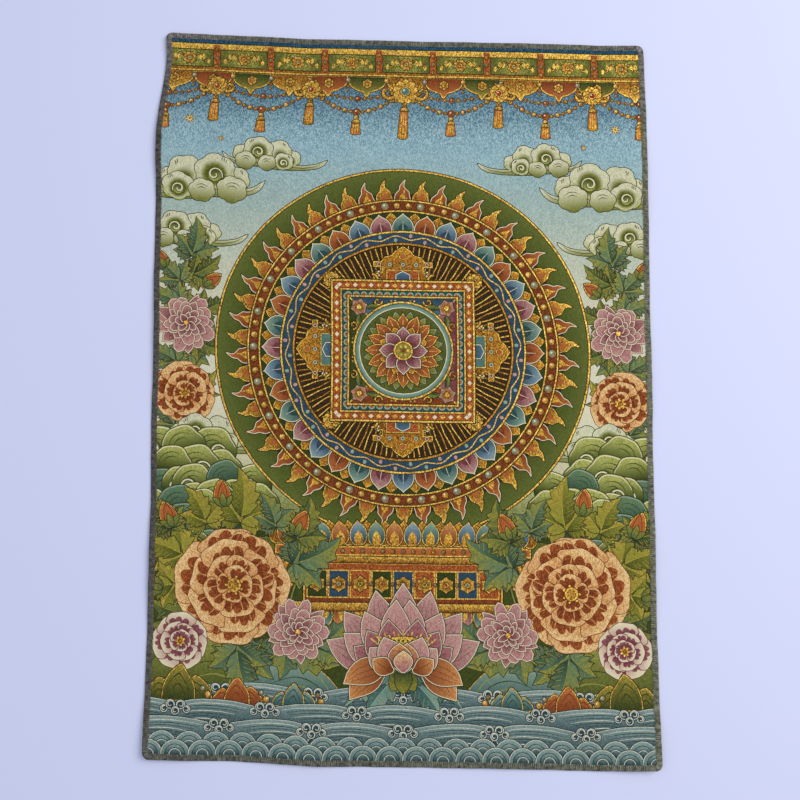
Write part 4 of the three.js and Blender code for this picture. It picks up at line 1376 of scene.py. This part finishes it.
def weave_mesh(tol=0.25, grid=11.0, px=0.4):
    """Cuts the face of the panel into triangles along every visible shape's outline.
    Gives the points in the picture's frame, the triangles and the shape on top of each."""
    x0, y0 = -HALF_W, -HALF_H
    nx, ny = int(math.ceil(WIDTH / px)), int(math.ceil(HEIGHT / px))
    ids = id_map(x0, y0, px, nx, ny)
    P, Q, K = [], [], []
    seen = set(np.unique(ids).tolist())
    for k, s in enumerate(SHAPES):
        if k not in seen:
            continue
        r = thinned(s['ring'], tol)
        s['cut'] = r
        q = np.roll(r, -1, 0)
        L = np.hypot(*(q - r).T)
        n = np.maximum(1, np.round(L / 13).astype(int))
        for m in np.unique(n):
            w = n == m
            for j in range(m):
                P.append(r[w] + (q[w] - r[w]) * (j / m))
                Q.append(r[w] + (q[w] - r[w]) * ((j + 1) / m))
                K.append(np.full(w.sum(), k))
    P, Q, K = np.concatenate(P), np.concatenate(Q), np.concatenate(K)
    P, Q, ok = clipped(P, Q, HALF_W - EDGE_W + 0.3, HALF_H - EDGE_W + 0.3)
    K = K[ok]
    # keep a segment only as far as its own shape shows beside it
    L = np.maximum(np.hypot(*(Q - P).T), 1e-6)
    first, last = np.full(len(P), 2.0), np.full(len(P), -1.0)
    for t in np.linspace(0.015, 0.985, 27):
        c = P + (Q - P) * t
        i, j = ((c[:, 0] - x0) / px).astype(int), ((c[:, 1] - y0) / px).astype(int)
        see = np.zeros(len(P), bool)
        for di, dj in ((0, 0), (1, 0), (-1, 0), (0, 1), (0, -1)):
            see |= ids[np.clip(j + dj, 0, ny - 1), np.clip(i + di, 0, nx - 1)] == K
        first = np.where(see, np.minimum(first, t), first)
        last = np.where(see, np.maximum(last, t), last)
    show = last > 0
    first, last = np.clip(first - 0.02 - 0.35 / L, 0, 1), np.clip(last + 0.02 + 0.35 / L, 0, 1)
    P, Q = (P + (Q - P) * first[:, None])[show], (P + (Q - P) * last[:, None])[show]
    # plain stations between the outlines, away from them
    busy = np.zeros((ny, nx), bool)
    for t in np.linspace(0, 1, 12):
        c = P + (Q - P) * t
        i, j = ((c[:, 0] - x0) / px).astype(int), ((c[:, 1] - y0) / px).astype(int)
        for di in range(-3, 4):
            for dj in range(-3, 4):
                busy[np.clip(j + dj, 0, ny - 1), np.clip(i + di, 0, nx - 1)] = True
    gx, gy = np.arange(-HALF_W + 12, HALF_W - 11, grid), np.arange(-HALF_H + 12, HALF_H - 11, grid * 0.92)
    G = np.array([(x + (grid / 2 if r % 2 else 0), y) for r, y in enumerate(gy) for x in gx])
    G = G[(G[:, 0] < HALF_W - 11)]
    G = G[~busy[((G[:, 1] - y0) / px).astype(int), ((G[:, 0] - x0) / px).astype(int)]]
    verts = [P, Q, G]
    edges = [np.stack([np.arange(len(P)), np.arange(len(P)) + len(P)], 1)]
    at = 2 * len(P) + len(G)
    for inset in (0.0, 0.5, 1.2, 5.6, EDGE_W):
        loop = outline(inset, 5.0)
        verts.append(loop)
        n = len(loop)
        edges.append(np.stack([np.arange(n), (np.arange(n) + 1) % n], 1) + at)
        at += n
    V, E = np.concatenate(verts), np.concatenate(edges)
    # merge points that fall together
    key = np.round(V / 0.16).astype(np.int64)
    _, first, back = np.unique(key[:, 0] * 10_000_000 + key[:, 1], return_index=True, return_inverse=True)
    V = V[first]
    E = np.sort(back.ravel()[E], 1)
    E = np.unique(E[E[:, 0] != E[:, 1]], axis=0)
    out = delaunay_2d_cdt([Vector(v) for v in V.tolist()], E.tolist(), [], 0, 1e-4, False)
    pts = np.array([tuple(v) for v in out[0]])
    tris = np.array(out[2])
    a, b, c = pts[tris[:, 0]], pts[tris[:, 1]], pts[tris[:, 2]]
    area = (b[:, 0] - a[:, 0]) * (c[:, 1] - a[:, 1]) - (b[:, 1] - a[:, 1]) * (c[:, 0] - a[:, 0])
    tris = np.where((area < 0)[:, None], tris[:, ::-1], tris)
    mid = pts[tris].mean(1)
    # the uppermost shape over each triangle
    shape = np.full(len(tris), -1)
    order = np.argsort(mid[:, 1], kind='stable')
    ys = mid[order, 1]
    for k in range(len(SHAPES) - 1, -1, -1):
        if k not in seen:
            continue
        r = SHAPES[k]['cut']
        lo, hi = r.min(0), r.max(0)
        cand = order[np.searchsorted(ys, lo[1]):np.searchsorted(ys, hi[1])]
        m = mid[cand]
        cand = cand[(m[:, 0] > lo[0]) & (m[:, 0] < hi[0]) & (shape[cand] < 0)]
        if len(cand):
            shape[cand[inside(r, mid[cand])]] = k
    return pts, tris, shape

# ------------------------------------------------------------------ the sheet of cloth
LIGHT_GAIN = 1.2        # thread colours are as seen; this is what the light takes off them
CLOTH_GAIN = (1.07, 1.06, 0.98)
EDGE_CLOTH = Dye((86, 82, 66), (58, 54, 44), 0.42)


def back_mesh(step=18.0):
    """Points and triangles of the underside, with the rim's own points."""
    loops = [outline(0.0, 5.0), outline(1.2, 6.0), outline(5.6, 8.0), outline(8.0, 10.0), outline(12.0, 12.0)]
    gx, gy = np.arange(-HALF_W + 16, HALF_W - 15, step), np.arange(-HALF_H + 16, HALF_H - 15, step)
    G = np.array([(x, y) for y in gy for x in gx])
    verts, edges, at = [G], [], len(G)
    for loop in loops:
        n = len(loop)
        verts.append(loop)
        edges.append(np.stack([np.arange(n), (np.arange(n) + 1) % n], 1) + at)
        at += n
    out = delaunay_2d_cdt([Vector(v) for v in np.concatenate(verts).tolist()], np.concatenate(edges).tolist(), [], 0, 1e-4, False)
    pts, tris = np.array([tuple(v) for v in out[0]]), np.array(out[2])
    a, b, c = pts[tris[:, 0]], pts[tris[:, 1]], pts[tris[:, 2]]
    area = (b[:, 0] - a[:, 0]) * (c[:, 1] - a[:, 1]) - (b[:, 1] - a[:, 1]) * (c[:, 0] - a[:, 0])
    return pts, np.where((area > 0)[:, None], tris[:, ::-1], tris)


def slope_normals(pts, rows, up):
    """Normals of the lying cloth at points of the picture's frame."""
    e = 0.5
    px, mx = lift(pts + [e, 0], rows), lift(pts - [e, 0], rows)
    py, my = lift(pts + [0, e], rows), lift(pts - [0, e], rows)
    n = np.cross(px - mx, py - my)
    n /= np.linalg.norm(n, axis=1)[:, None]
    return n * up


def rim_order(pts, loop):
    """For each point of the rim loop, its index among pts."""
    key = {}
    for i in np.nonzero(inset_of(pts) < 0.2)[0]:
        key[(round(pts[i, 0] * 50), round(pts[i, 1] * 50))] = i
    out = []
    for x, y in loop:
        a, b = round(x * 50), round(y * 50)
        found = [key[(a + i, b + j)] for i in (0, -1, 1) for j in (0, -1, 1) if (a + i, b + j) in key]
        out.append(found[0])
    return np.array(out)


def make_sheet():
    fpts, ftris, shape = weave_mesh()
    bpts, btris = back_mesh()
    nf = len(fpts)
    loop = outline(0.0, 5.0)
    fr, br = rim_order(fpts, loop), rim_order(bpts, loop) + nf
    n = len(loop)
    k = np.arange(n)
    walls = np.concatenate([np.stack([fr[k], br[k], br[(k + 1) % n]], 1), np.stack([fr[k], br[(k + 1) % n], fr[(k + 1) % n]], 1)])
    co = np.concatenate([lift(fpts, FACE), lift(bpts, BACK)])
    tris = np.concatenate([ftris, btris + nf, walls])
    out = np.concatenate([slope_normals(fpts, FACE, 1), slope_normals(bpts, BACK, -1)])
    # the rim's own points look outwards
    prev, nxt = np.roll(loop, 1, 0), np.roll(loop, -1, 0)
    d = nxt - prev
    away = np.stack([d[:, 1], -d[:, 0], np.zeros(n)], 1)
    away /= np.linalg.norm(away, axis=1)[:, None]
    for ids, z in ((fr, 0.7), (br, -0.7)):
        v = away + [0, 0, z]
        out[ids] = v / np.linalg.norm(v, axis=1)[:, None]

    # thread colours at every corner
    mid = fpts[ftris].mean(1)
    at_edge = inset_of(mid) < 5.6
    flat = fpts[ftris].reshape(-1, 2)
    who = np.repeat(shape, 3)
    vals = np.zeros((len(flat), 8))
    order = np.argsort(who, kind='stable')
    cuts = np.flatnonzero(np.diff(who[order])) + 1
    for ids in np.split(order, cuts):
        s = SHAPES[max(who[ids[0]], 0)]
        vals[ids] = tone(s, flat[ids])
    vals[np.repeat(at_edge, 3)] = EDGE_CLOTH.flat()
    # the underside shows the same threads the other way up, duller
    bcol = back_tones(bpts)
    bvals = bcol[btris].reshape(-1, 8)
    wvals = np.repeat(EDGE_CLOTH.flat()[None], len(walls) * 3, 0)
    vals = np.concatenate([vals, bvals, wvals])

    mesh = bpy.data.meshes.new('brocade_panel')
    mesh.vertices.add(len(co))
    mesh.vertices.foreach_set('co', co.ravel().astype(np.float32))
    mesh.loops.add(len(tris) * 3)
    mesh.loops.foreach_set('vertex_index', tris.ravel().astype(np.int32))
    mesh.polygons.add(len(tris))
    mesh.polygons.foreach_set('loop_start', np.arange(0, len(tris) * 3, 3, dtype=np.int32))
    mesh.update(calc_edges=True)
    mesh.polygons.foreach_set('use_smooth', np.ones(len(tris), bool))
    pair = (('dye_a', vals[:, 0:3], vals[:, 6]), ('dye_b', vals[:, 3:6], vals[:, 7]))
    for name, rgb, extra in pair:
        att = mesh.color_attributes.new(name, 'FLOAT_COLOR', 'CORNER')
        col = np.concatenate([np.minimum(linear(rgb) * CLOTH_GAIN, 0.92), extra[:, None]], 1)
        att.data.foreach_set('color', col.ravel().astype(np.float32))
    both_sides = np.concatenate([fpts, bpts])
    uv = both_sides[tris].reshape(-1, 2)
    mesh.uv_layers.new(name='weave').data.foreach_set('uv', uv.ravel().astype(np.float32))
    s, t = (uv[:, 0] + HALF_W) / WIDTH, (uv[:, 1] + HALF_H) / HEIGHT
    nface, nback = len(ftris) * 3, len(btris) * 3
    bake = np.stack([0.01 + 0.66 * s, 0.01 + 0.98 * t], 1)
    bake[nface:nface + nback] = np.stack([0.69 + 0.30 * (1 - s), 0.01 + 0.44 * t], 1)[nface:nface + nback]
    along = np.concatenate([np.stack([k, k, k + 1], 1), np.stack([k, k + 1, k + 1], 1)]) / n
    upper = np.concatenate([np.tile([1, 0, 0], (n, 1)), np.tile([1, 0, 1], (n, 1))])
    bake[nface + nback:] = np.stack([0.69 + 0.30 * along.ravel(), 0.50 + 0.02 * upper.ravel()], 1)
    mesh.uv_layers.new(name='OFBake').data.foreach_set('uv', bake.ravel().astype(np.float32))
    mesh.uv_layers.active = mesh.uv_layers['OFBake']
    mesh.validate(clean_customdata=False)
    mesh.normals_split_custom_set_from_vertices(out.astype(np.float32))
    obj = bpy.data.objects.new('brocade_panel', mesh)
    scene.collection.objects.link(obj)
    return obj


def back_tones(pts):
    """Dye values of the underside at points: the face's colours, greyed and mixed the other way round."""
    px = 2.0
    x0, y0 = -HALF_W, -HALF_H
    nx, ny = int(math.ceil(WIDTH / px)), int(math.ceil(HEIGHT / px))
    ids = id_map(x0, y0, px, nx, ny)
    i = np.clip(((pts[:, 0] - x0) / px).astype(int), 0, nx - 1)
    j = np.clip(((pts[:, 1] - y0) / px).astype(int), 0, ny - 1)
    k = np.maximum(ids[j, i], 0)
    out = np.zeros((len(pts), 8))
    for q in np.unique(k):
        m = k == q
        out[m] = tone(SHAPES[q], pts[m])
    plain = np.array([132.0, 130, 108])
    a, b = out[:, 0:3].copy(), out[:, 3:6].copy()
    out[:, 0:3] = b * 0.5 + plain * 0.5
    out[:, 3:6] = a * 0.35 + plain * 0.35 + 18
    out[:, 6] = 0.45
    out[:, 7] *= 0.3
    edge = inset_of(pts) < EDGE_W + 0.4
    out[edge] = EDGE_CLOTH.flat()
    return out


def brocade_material():
    mat, tree, shader = new_material('brocade')
    T = tree
    uv = add_node(T, 'ShaderNodeUVMap', uv_map='weave').outputs[0]
    a = add_node(T, 'ShaderNodeAttribute', attribute_name='dye_a')
    b = add_node(T, 'ShaderNodeAttribute', attribute_name='dye_b')

    def cells(w, h, shift, stagger=False):
        p = vectors(T, 'ADD', vectors(T, 'MULTIPLY', uv, (1 / w, 1 / h, 0)), (shift, shift * 0.7, 0))
        if stagger:
            column = maths(T, 'FLOOR', add_node(T, 'ShaderNodeSeparateXYZ', {0: p}).outputs[0])
            slip = add_node(T, 'ShaderNodeTexWhiteNoise', {'W': column}, noise_dimensions='1D').outputs[0]
            p = vectors(T, 'ADD', p, add_node(T, 'ShaderNodeCombineXYZ', {1: slip}).outputs[0])
        f = vectors(T, 'FLOOR', p)
        return p, add_node(T, 'ShaderNodeTexWhiteNoise', {'Vector': f}, noise_dimensions='3D')

    fine_p, fine = cells(0.56, 0.50, 911.3)
    group_p, group = cells(1.05, 1.75, 417.7, True)
    fine_rgb = add_node(T, 'ShaderNodeSeparateColor', {0: fine.outputs[1]})
    group_rgb = add_node(T, 'ShaderNodeSeparateColor', {0: group.outputs[1]})
    knot_p, knot = cells(2.3, 2.9, 151.9, True)
    # each thread crossing is drawn on its own, or goes with its small group or with a larger knot of them
    own = maths(T, 'GREATER_THAN', fine_rgb.outputs[2], 0.62)
    tied = maths(T, 'GREATER_THAN', group_rgb.outputs[1], 0.70)
    r = maths(T, 'ADD', maths(T, 'MULTIPLY', tied, knot.outputs[0]),
              maths(T, 'MULTIPLY', maths(T, 'SUBTRACT', 1.0, tied), group.outputs[0]))
    r = maths(T, 'ADD', maths(T, 'MULTIPLY', own, fine.outputs[0]),
              maths(T, 'MULTIPLY', maths(T, 'SUBTRACT', 1.0, own), r))
    pick = maths(T, 'LESS_THAN', r, a.outputs['Alpha'])
    colour = blend(T, pick, a.outputs[0], b.outputs[0])
    # threads differ a little in brightness, and the gaps between them are darker: painted shade between the threads
    wave = vectors(T, 'FRACTION', fine_p)
    wx = add_node(T, 'ShaderNodeSeparateXYZ', {0: wave})
    rib_x = maths(T, 'SINE', maths(T, 'MULTIPLY', wx.outputs[0], math.pi))
    rib_y = maths(T, 'SINE', maths(T, 'MULTIPLY', wx.outputs[1], math.pi))
    rib = maths(T, 'MULTIPLY', rib_x, rib_y)
    drift = add_node(T, 'ShaderNodeTexNoise', {'Vector': uv, 'Scale': 0.012, 'Detail': 3.0}, noise_dimensions='3D')
    # the thread profile darkens the base colour at the gaps between threads: painted shade
    bright = maths(T, 'ADD', 0.80, maths(T, 'MULTIPLY', rib, 0.16))
    bright = maths(T, 'ADD', bright, maths(T, 'MULTIPLY', group_rgb.outputs[0], 0.13))
    bright = maths(T, 'ADD', bright, maths(T, 'MULTIPLY', fine_rgb.outputs[0], 0.10))
    bright = maths(T, 'ADD', bright, maths(T, 'MULTIPLY', maths(T, 'SUBTRACT', drift.outputs[0], 0.5), 0.14))
    metal = maths(T, 'MULTIPLY', b.outputs['Alpha'], maths(T, 'GREATER_THAN', group_rgb.outputs[1], 0.30))
    # gold is mottled: some threads catch the light, as a painted glint in the base colour; others are darkened in the
    # base colour, as painted shade where they turn away and where the dark ground shows through
    mottle = maths(T, 'ADD', maths(T, 'MULTIPLY', group_rgb.outputs[2], 0.62), maths(T, 'MULTIPLY', fine_rgb.outputs[1], 0.38))
    glint = maths(T, 'MULTIPLY', b.outputs['Alpha'], maths(T, 'GREATER_THAN', mottle, 0.66))
    gold_shade_and_ground = maths(T, 'MULTIPLY', b.outputs['Alpha'], maths(T, 'LESS_THAN', mottle, 0.36))
    # painted glints brighten and painted shade with the dark ground darkens the gold threads' base colour
    bright = maths(T, 'ADD', bright, maths(T, 'MULTIPLY', glint, 0.55))
    bright = maths(T, 'SUBTRACT', bright, maths(T, 'MULTIPLY', gold_shade_and_ground, 0.60))
    grey = add_node(T, 'ShaderNodeCombineXYZ', {0: bright, 1: bright, 2: bright})
    colour = blend(T, 1.0, colour, grey.outputs[0], 'MULTIPLY')
    T.links.new(colour, shader.inputs['Base Color'])
    T.links.new(maths(T, 'MULTIPLY', metal, 0.62), shader.inputs['Metallic'])
    T.links.new(maths(T, 'SUBTRACT', 0.86, maths(T, 'MULTIPLY', metal, 0.42)), shader.inputs['Roughness'])
    shader.inputs['Specular IOR Level'].default_value = 0.12
    shader.inputs['Sheen Weight'].default_value = 0.03
    shader.inputs['Sheen Roughness'].default_value = 0.5
    height = maths(T, 'ADD', maths(T, 'MULTIPLY', rib, 0.55), maths(T, 'MULTIPLY', group.outputs[0], 0.45))
    bump = add_node(T, 'ShaderNodeBump', {'Strength': 0.55, 'Distance': 0.00022, 'Height': height})
    T.links.new(bump.outputs[0], shader.inputs['Normal'])
    return mat


# ------------------------------------------------------------------ the edge thread
RIM = 2 * (WIDTH - 2 * CORNER_R) + 2 * (HEIGHT - 2 * CORNER_R) + 2 * math.pi * CORNER_R


def rim_at(s):
    """Point of the rim and the direction inwards, at a distance s round it from the foot's left corner."""
    w, h, q = WIDTH - 2 * CORNER_R, HEIGHT - 2 * CORNER_R, math.pi * CORNER_R / 2
    s = np.mod(s, RIM)
    p, n = np.zeros((len(s), 2)), np.zeros((len(s), 2))
    at = 0.0
    W, H = HALF_W - CORNER_R, HALF_H - CORNER_R
    for side, (L, start, d, inward, corner, a0) in enumerate((
            (w, (-W, -HALF_H), (1, 0), (0, 1), (W, -H), -90), (h, (HALF_W, -H), (0, 1), (-1, 0), (W, H), 0),
            (w, (W, HALF_H), (-1, 0), (0, -1), (-W, H), 90), (h, (-HALF_W, H), (0, -1), (1, 0), (-W, -H), 180))):
        m = (s >= at) & (s < at + L)
        p[m] = np.array(start) + np.outer(s[m] - at, d)
        n[m] = inward
        at += L
        m = (s >= at) & (s < at + q)
        a = np.radians(a0) + (s[m] - at) / CORNER_R
        out = np.stack([np.cos(a), np.sin(a)], 1)
        p[m] = np.array(corner) + out * CORNER_R
        n[m] = -out
        at += q
    return p, n


def on_edge(s, inset, high):
    """Metres in the part's frame for a place along the rim, a distance in from it and a height."""
    p, n = rim_at(s)
    q = place(p + n * np.asarray(inset)[:, None])
    z = ripple(q) + high
    return np.concatenate([q - MID, z[:, None]], 1) / 1000


def tubes(name, paths, radius, sides, shade, ref):
    """One mesh of many short threads. paths is threads x points x 3, shade one number a thread or a point of
    it, and ref a direction across each thread."""
    m, k, _ = paths.shape
    d = np.gradient(paths, axis=1)
    d /= np.linalg.norm(d, axis=2)[:, :, None]
    up = np.cross(d, np.repeat(ref[:, None], k, 1))
    up /= np.maximum(np.linalg.norm(up, axis=2), 1e-12)[:, :, None]
    side = np.cross(d, up)
    a = np.arange(sides) * 2 * math.pi / sides
    r = np.broadcast_to(radius, (m, k))[:, :, None, None] / 1000
    ring = (paths[:, :, None] + up[:, :, None] * (np.cos(a)[:, None] * r) + side[:, :, None] * (np.sin(a)[:, None] * r))
    co = ring.reshape(-1, 3)
    i = np.arange(k - 1)[:, None] * sides
    j = np.arange(sides)[None]
    quads = np.stack([i + j, i + (j + 1) % sides, i + sides + (j + 1) % sides, i + sides + j], -1).reshape(-1, 4)
    quads = (quads[None] + (np.arange(m) * k * sides)[:, None, None]).reshape(-1, 4)
    first = np.arange(sides)[None] + (np.arange(m) * k * sides)[:, None]
    last = first + (k - 1) * sides
    idx = np.concatenate([quads.ravel(), first[:, ::-1].ravel(), last.ravel()])
    sizes = np.concatenate([np.full(len(quads), 4), np.full(2 * m, sides)])
    mesh = bpy.data.meshes.new(name)
    mesh.vertices.add(len(co))
    mesh.vertices.foreach_set('co', co.ravel().astype(np.float32))
    mesh.loops.add(len(idx))
    mesh.loops.foreach_set('vertex_index', idx.astype(np.int32))
    mesh.polygons.add(len(sizes))
    mesh.polygons.foreach_set('loop_start', np.concatenate([[0], np.cumsum(sizes)[:-1]]).astype(np.int32))
    mesh.update(calc_edges=True)
    mesh.polygons.foreach_set('use_smooth', np.ones(len(sizes), bool))
    att = mesh.attributes.new('shade', 'FLOAT', 'POINT')
    shade = np.repeat(shade, k) if shade.ndim == 1 else shade.ravel()
    att.data.foreach_set('value', np.repeat(shade, sides).astype(np.float32))
    # a layout for the surface: threads side by side in rows
    rows = 18
    per = math.ceil(m / rows)
    uq = np.stack([j, j + 1, j + 1, j], -1).reshape(1, sides, 4) / sides
    uq = np.broadcast_to(uq, (k - 1, sides, 4))
    vq = np.stack([i, i, i + sides, i + sides], -1) / sides / (k - 1)
    vq = np.broadcast_to(vq.reshape(k - 1, 1, 4), (k - 1, sides, 4))
    t = np.arange(m)
    u = (t % per)[:, None] + 0.06 + 0.88 * uq.reshape(1, -1)
    v = (t // per)[:, None] + 0.06 + 0.84 * vq.reshape(1, -1)
    cap_u = np.repeat((t % per)[:, None] + 0.5, sides, 1) + 0.3 * np.cos(a)[None]
    cap_v = np.repeat((t // per)[:, None] + 0.0, sides, 1) + 0.02 * np.sin(a)[None]
    uv = np.concatenate([np.stack([u.ravel() / per, v.ravel() / rows], 1),
                         np.stack([cap_u.ravel() / per, (cap_v.ravel() + 0.03) / rows], 1),
                         np.stack([cap_u.ravel() / per, (cap_v.ravel() + 0.95) / rows], 1)])
    mesh.uv_layers.new(name='OFBake').data.foreach_set('uv', np.clip(uv, 0.001, 0.999).ravel().astype(np.float32))
    mesh.validate(clean_customdata=False)
    obj = bpy.data.objects.new(name, mesh)
    scene.collection.objects.link(obj)
    return obj


def make_edge():
    """Overlock stitching: threads over the face and the back of the rim, and a chain along them."""
    rnd = np.random.RandomState(7)
    legs = 2 * round(RIM / 2.3)
    s = np.arange(legs) * RIM / legs
    s = s + rnd.uniform(-0.10, 0.10, legs)
    lean = np.where(np.arange(legs) % 2 == 0, 0.50, 0.14) + rnd.uniform(-0.22, 0.22, legs)
    reach = 6.45 + rnd.uniform(-1.15, 0.5, legs)
    tight = rnd.uniform(-0.07, 0.07, legs)
    pieces = []
    # inset, height and part of the lean at each point of a thread over the face
    over = ((-0.30, 0.62, 0.0), (-0.16, 1.22, 0.05), (0.75, 1.60, 0.15), (2.2, 1.66, 0.35), (4.2, 1.64, 0.7), (5.8, 1.55, 0.95),
            (6.55, 1.30, 1.0))
    pts = []
    for inset, high, share in over:
        far = reach / 6.55 if inset > 2 else 1.0
        pts.append(on_edge(s + lean * share, np.full(legs, inset) * far, high + tight * min(1, max(inset, 0))))
    paths = np.stack(pts, 1)
    # neighbouring threads lie alike: worn and shaded spots are a few threads long
    spots = rnd.uniform(0, 1, legs // 3 + 4)
    shade = 0.30 * rnd.uniform(0, 1, legs) + 0.70 * np.interp(np.arange(legs) / 3.0, np.arange(len(spots)), spots)
    # where they turn over the rim, light and dark specks alternate: painted highlights and painted shade in the
    # threads' shade values
    rim_painted_light = np.interp(np.arange(legs) / 1.5, np.arange(legs), rnd.uniform(-1.25, 1.35, legs))
    shade = shade[:, None] + rim_painted_light[:, None] * np.array([0.7, 0.9, 1.0, 0.75, 0.15, 0.0, 0.0])
    half = legs // 2
    radius = 0.50 + rnd.uniform(-0.07, 0.05, legs)[:, None]
    _, inward = rim_at(s)
    along = np.stack([inward[:, 1], -inward[:, 0], np.zeros(legs)], 1)
    pieces.append(tubes('overlock_face_a', paths[:half], radius[:half], 5, shade[:half], along[:half]))
    pieces.append(tubes('overlock_face_b', paths[half:], radius[half:], 5, shade[half:], along[half:]))
    # threads under the back
    under = ((-0.30, 0.66, 0.0), (-0.05, 0.36, 0.1), (2.0, 0.27, 0.4), (4.6, 0.24, 0.8), (6.4, 0.25, 1.0))
    pts = [on_edge(s + 0.4 - lean * share, np.full(legs, inset), high) for inset, high, share in under]
    pieces.append(tubes('overlock_back', np.stack(pts, 1), 0.22, 4, rnd.uniform(0, 1, legs), along))
    # the chain along the inner side of the band, and the interlock along the rim
    n = round(RIM / 3.1)
    s = np.arange(n) * RIM / n
    bends = rnd.uniform(-0.55, 0.30, n // 4 + 3)
    wob = rnd.uniform(-0.14, 0.14, n) + np.interp(np.arange(n) / 4.0, np.arange(len(bends)), bends)
    chain = ((0.0, 6.10, 1.15), (0.5, 6.22, 1.50), (1.25, 6.25, 1.62), (2.0, 6.22, 1.50), (2.5, 6.10, 1.15))
    pts = [on_edge(s + du, inset + wob, high) for du, inset, high in chain]
    upright = np.tile([0.0, 0.0, 1.0], (n, 1))
    taper = np.sqrt(1 - 0.5 * np.linspace(-1, 1, 5) ** 2)[None].repeat(n, 0)
    pieces.append(tubes('overlock_chain', np.stack(pts, 1), 0.33 * taper, 5, rnd.uniform(-0.3, 1.7, n), upright))
    n = round(RIM / 2.3)
    s = np.arange(n) * RIM / n
    lip = ((0.0, -0.42, 0.70), (0.75, -0.52, 1.04), (1.55, -0.46, 0.98), (2.45, -0.40, 0.66))
    pts = [on_edge(s + du, np.full(n, inset), high + rnd.uniform(-0.05, 0.05, n)) for du, inset, high in lip]
    upright = np.tile([0.0, 0.0, 1.0], (n, 1))
    # random shade values give the lip threads painted highlights and painted shade: pale and dark specks along the rim
    pieces.append(tubes('overlock_lip', np.stack(pts, 1), 0.30, 5, rnd.uniform(-0.5, 1.5, n), upright))
    return pieces


def edge_material():
    mat, tree, shader = new_material('edge_thread')
    T = tree
    where = add_node(T, 'ShaderNodeTexCoord').outputs['Object']
    shade = add_node(T, 'ShaderNodeAttribute', attribute_name='shade').outputs['Fac']
    xyz = add_node(T, 'ShaderNodeSeparateXYZ', {0: where})
    # greyer and paler towards the head and foot, browner at the left
    ends = maths(T, 'POWER', maths(T, 'ABSOLUTE', maths(T, 'MULTIPLY', xyz.outputs[1], 2.25)), 14.0, clamp=True)
    left = maths(T, 'MULTIPLY_ADD', xyz.outputs[0], -1.6, 0.5, clamp=True)
    base = blend(T, left, rgba((128, 129, 105), LIGHT_GAIN), rgba((93, 90, 83), LIGHT_GAIN))
    base = blend(T, maths(T, 'MULTIPLY', ends, 0.6), base, rgba((124, 124, 108), LIGHT_GAIN))
    # paler and more mauve at the two upper corners
    side = maths(T, 'POWER', maths(T, 'ABSOLUTE', maths(T, 'MULTIPLY', xyz.outputs[0], 3.3)), 5.0, clamp=True)
    head = maths(T, 'MULTIPLY_ADD', xyz.outputs[1], 9.0, -2.9, clamp=True)
    base = blend(T, maths(T, 'MULTIPLY', maths(T, 'MULTIPLY', side, head), 0.8), base, rgba((138, 132, 130), LIGHT_GAIN))
    blot = add_node(T, 'ShaderNodeTexNoise', {'Vector': where, 'Scale': 300.0, 'Detail': 2.0}).outputs[0]
    slow = add_node(T, 'ShaderNodeTexNoise', {'Vector': where, 'Scale': 9.0, 'Detail': 2.0}).outputs[0]
    # each thread's shade value scales its base colour: random tone, and at the rim painted highlights and painted shade
    k = maths(T, 'ADD', 0.68, maths(T, 'MULTIPLY', shade, 0.34))
    k = maths(T, 'ADD', k, maths(T, 'MULTIPLY', maths(T, 'SUBTRACT', blot, 0.5), 2.2))
    k = maths(T, 'ADD', k, maths(T, 'MULTIPLY', maths(T, 'SUBTRACT', slow, 0.5), 0.35))
    k = maths(T, 'MAXIMUM', k, 0.22)
    grey = add_node(T, 'ShaderNodeCombineXYZ', {0: k, 1: k, 2: k})
    T.links.new(blend(T, 1.0, base, grey.outputs[0], 'MULTIPLY'), shader.inputs['Base Color'])
    shader.inputs['Roughness'].default_value = 0.78
    shader.inputs['Specular IOR Level'].default_value = 0.25
    shader.inputs['Sheen Weight'].default_value = 0.08
    ply = add_node(T, 'ShaderNodeTexNoise', {'Vector': where, 'Scale': 1900.0, 'Detail': 1.0}).outputs[0]
    bump = add_node(T, 'ShaderNodeBump', {'Strength': 0.5, 'Distance': 0.0001, 'Height': ply})
    T.links.new(bump.outputs[0], shader.inputs['Normal'])
    return mat


# ------------------------------------------------------------------ making
panel = make_sheet()
panel.data.materials.append(brocade_material())
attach(panel, 'root')
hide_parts('thangka_panel')
thread = edge_material()
edge_pieces = make_edge()
for piece in edge_pieces:
    piece.data.materials.append(thread)
    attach(piece, 'root')
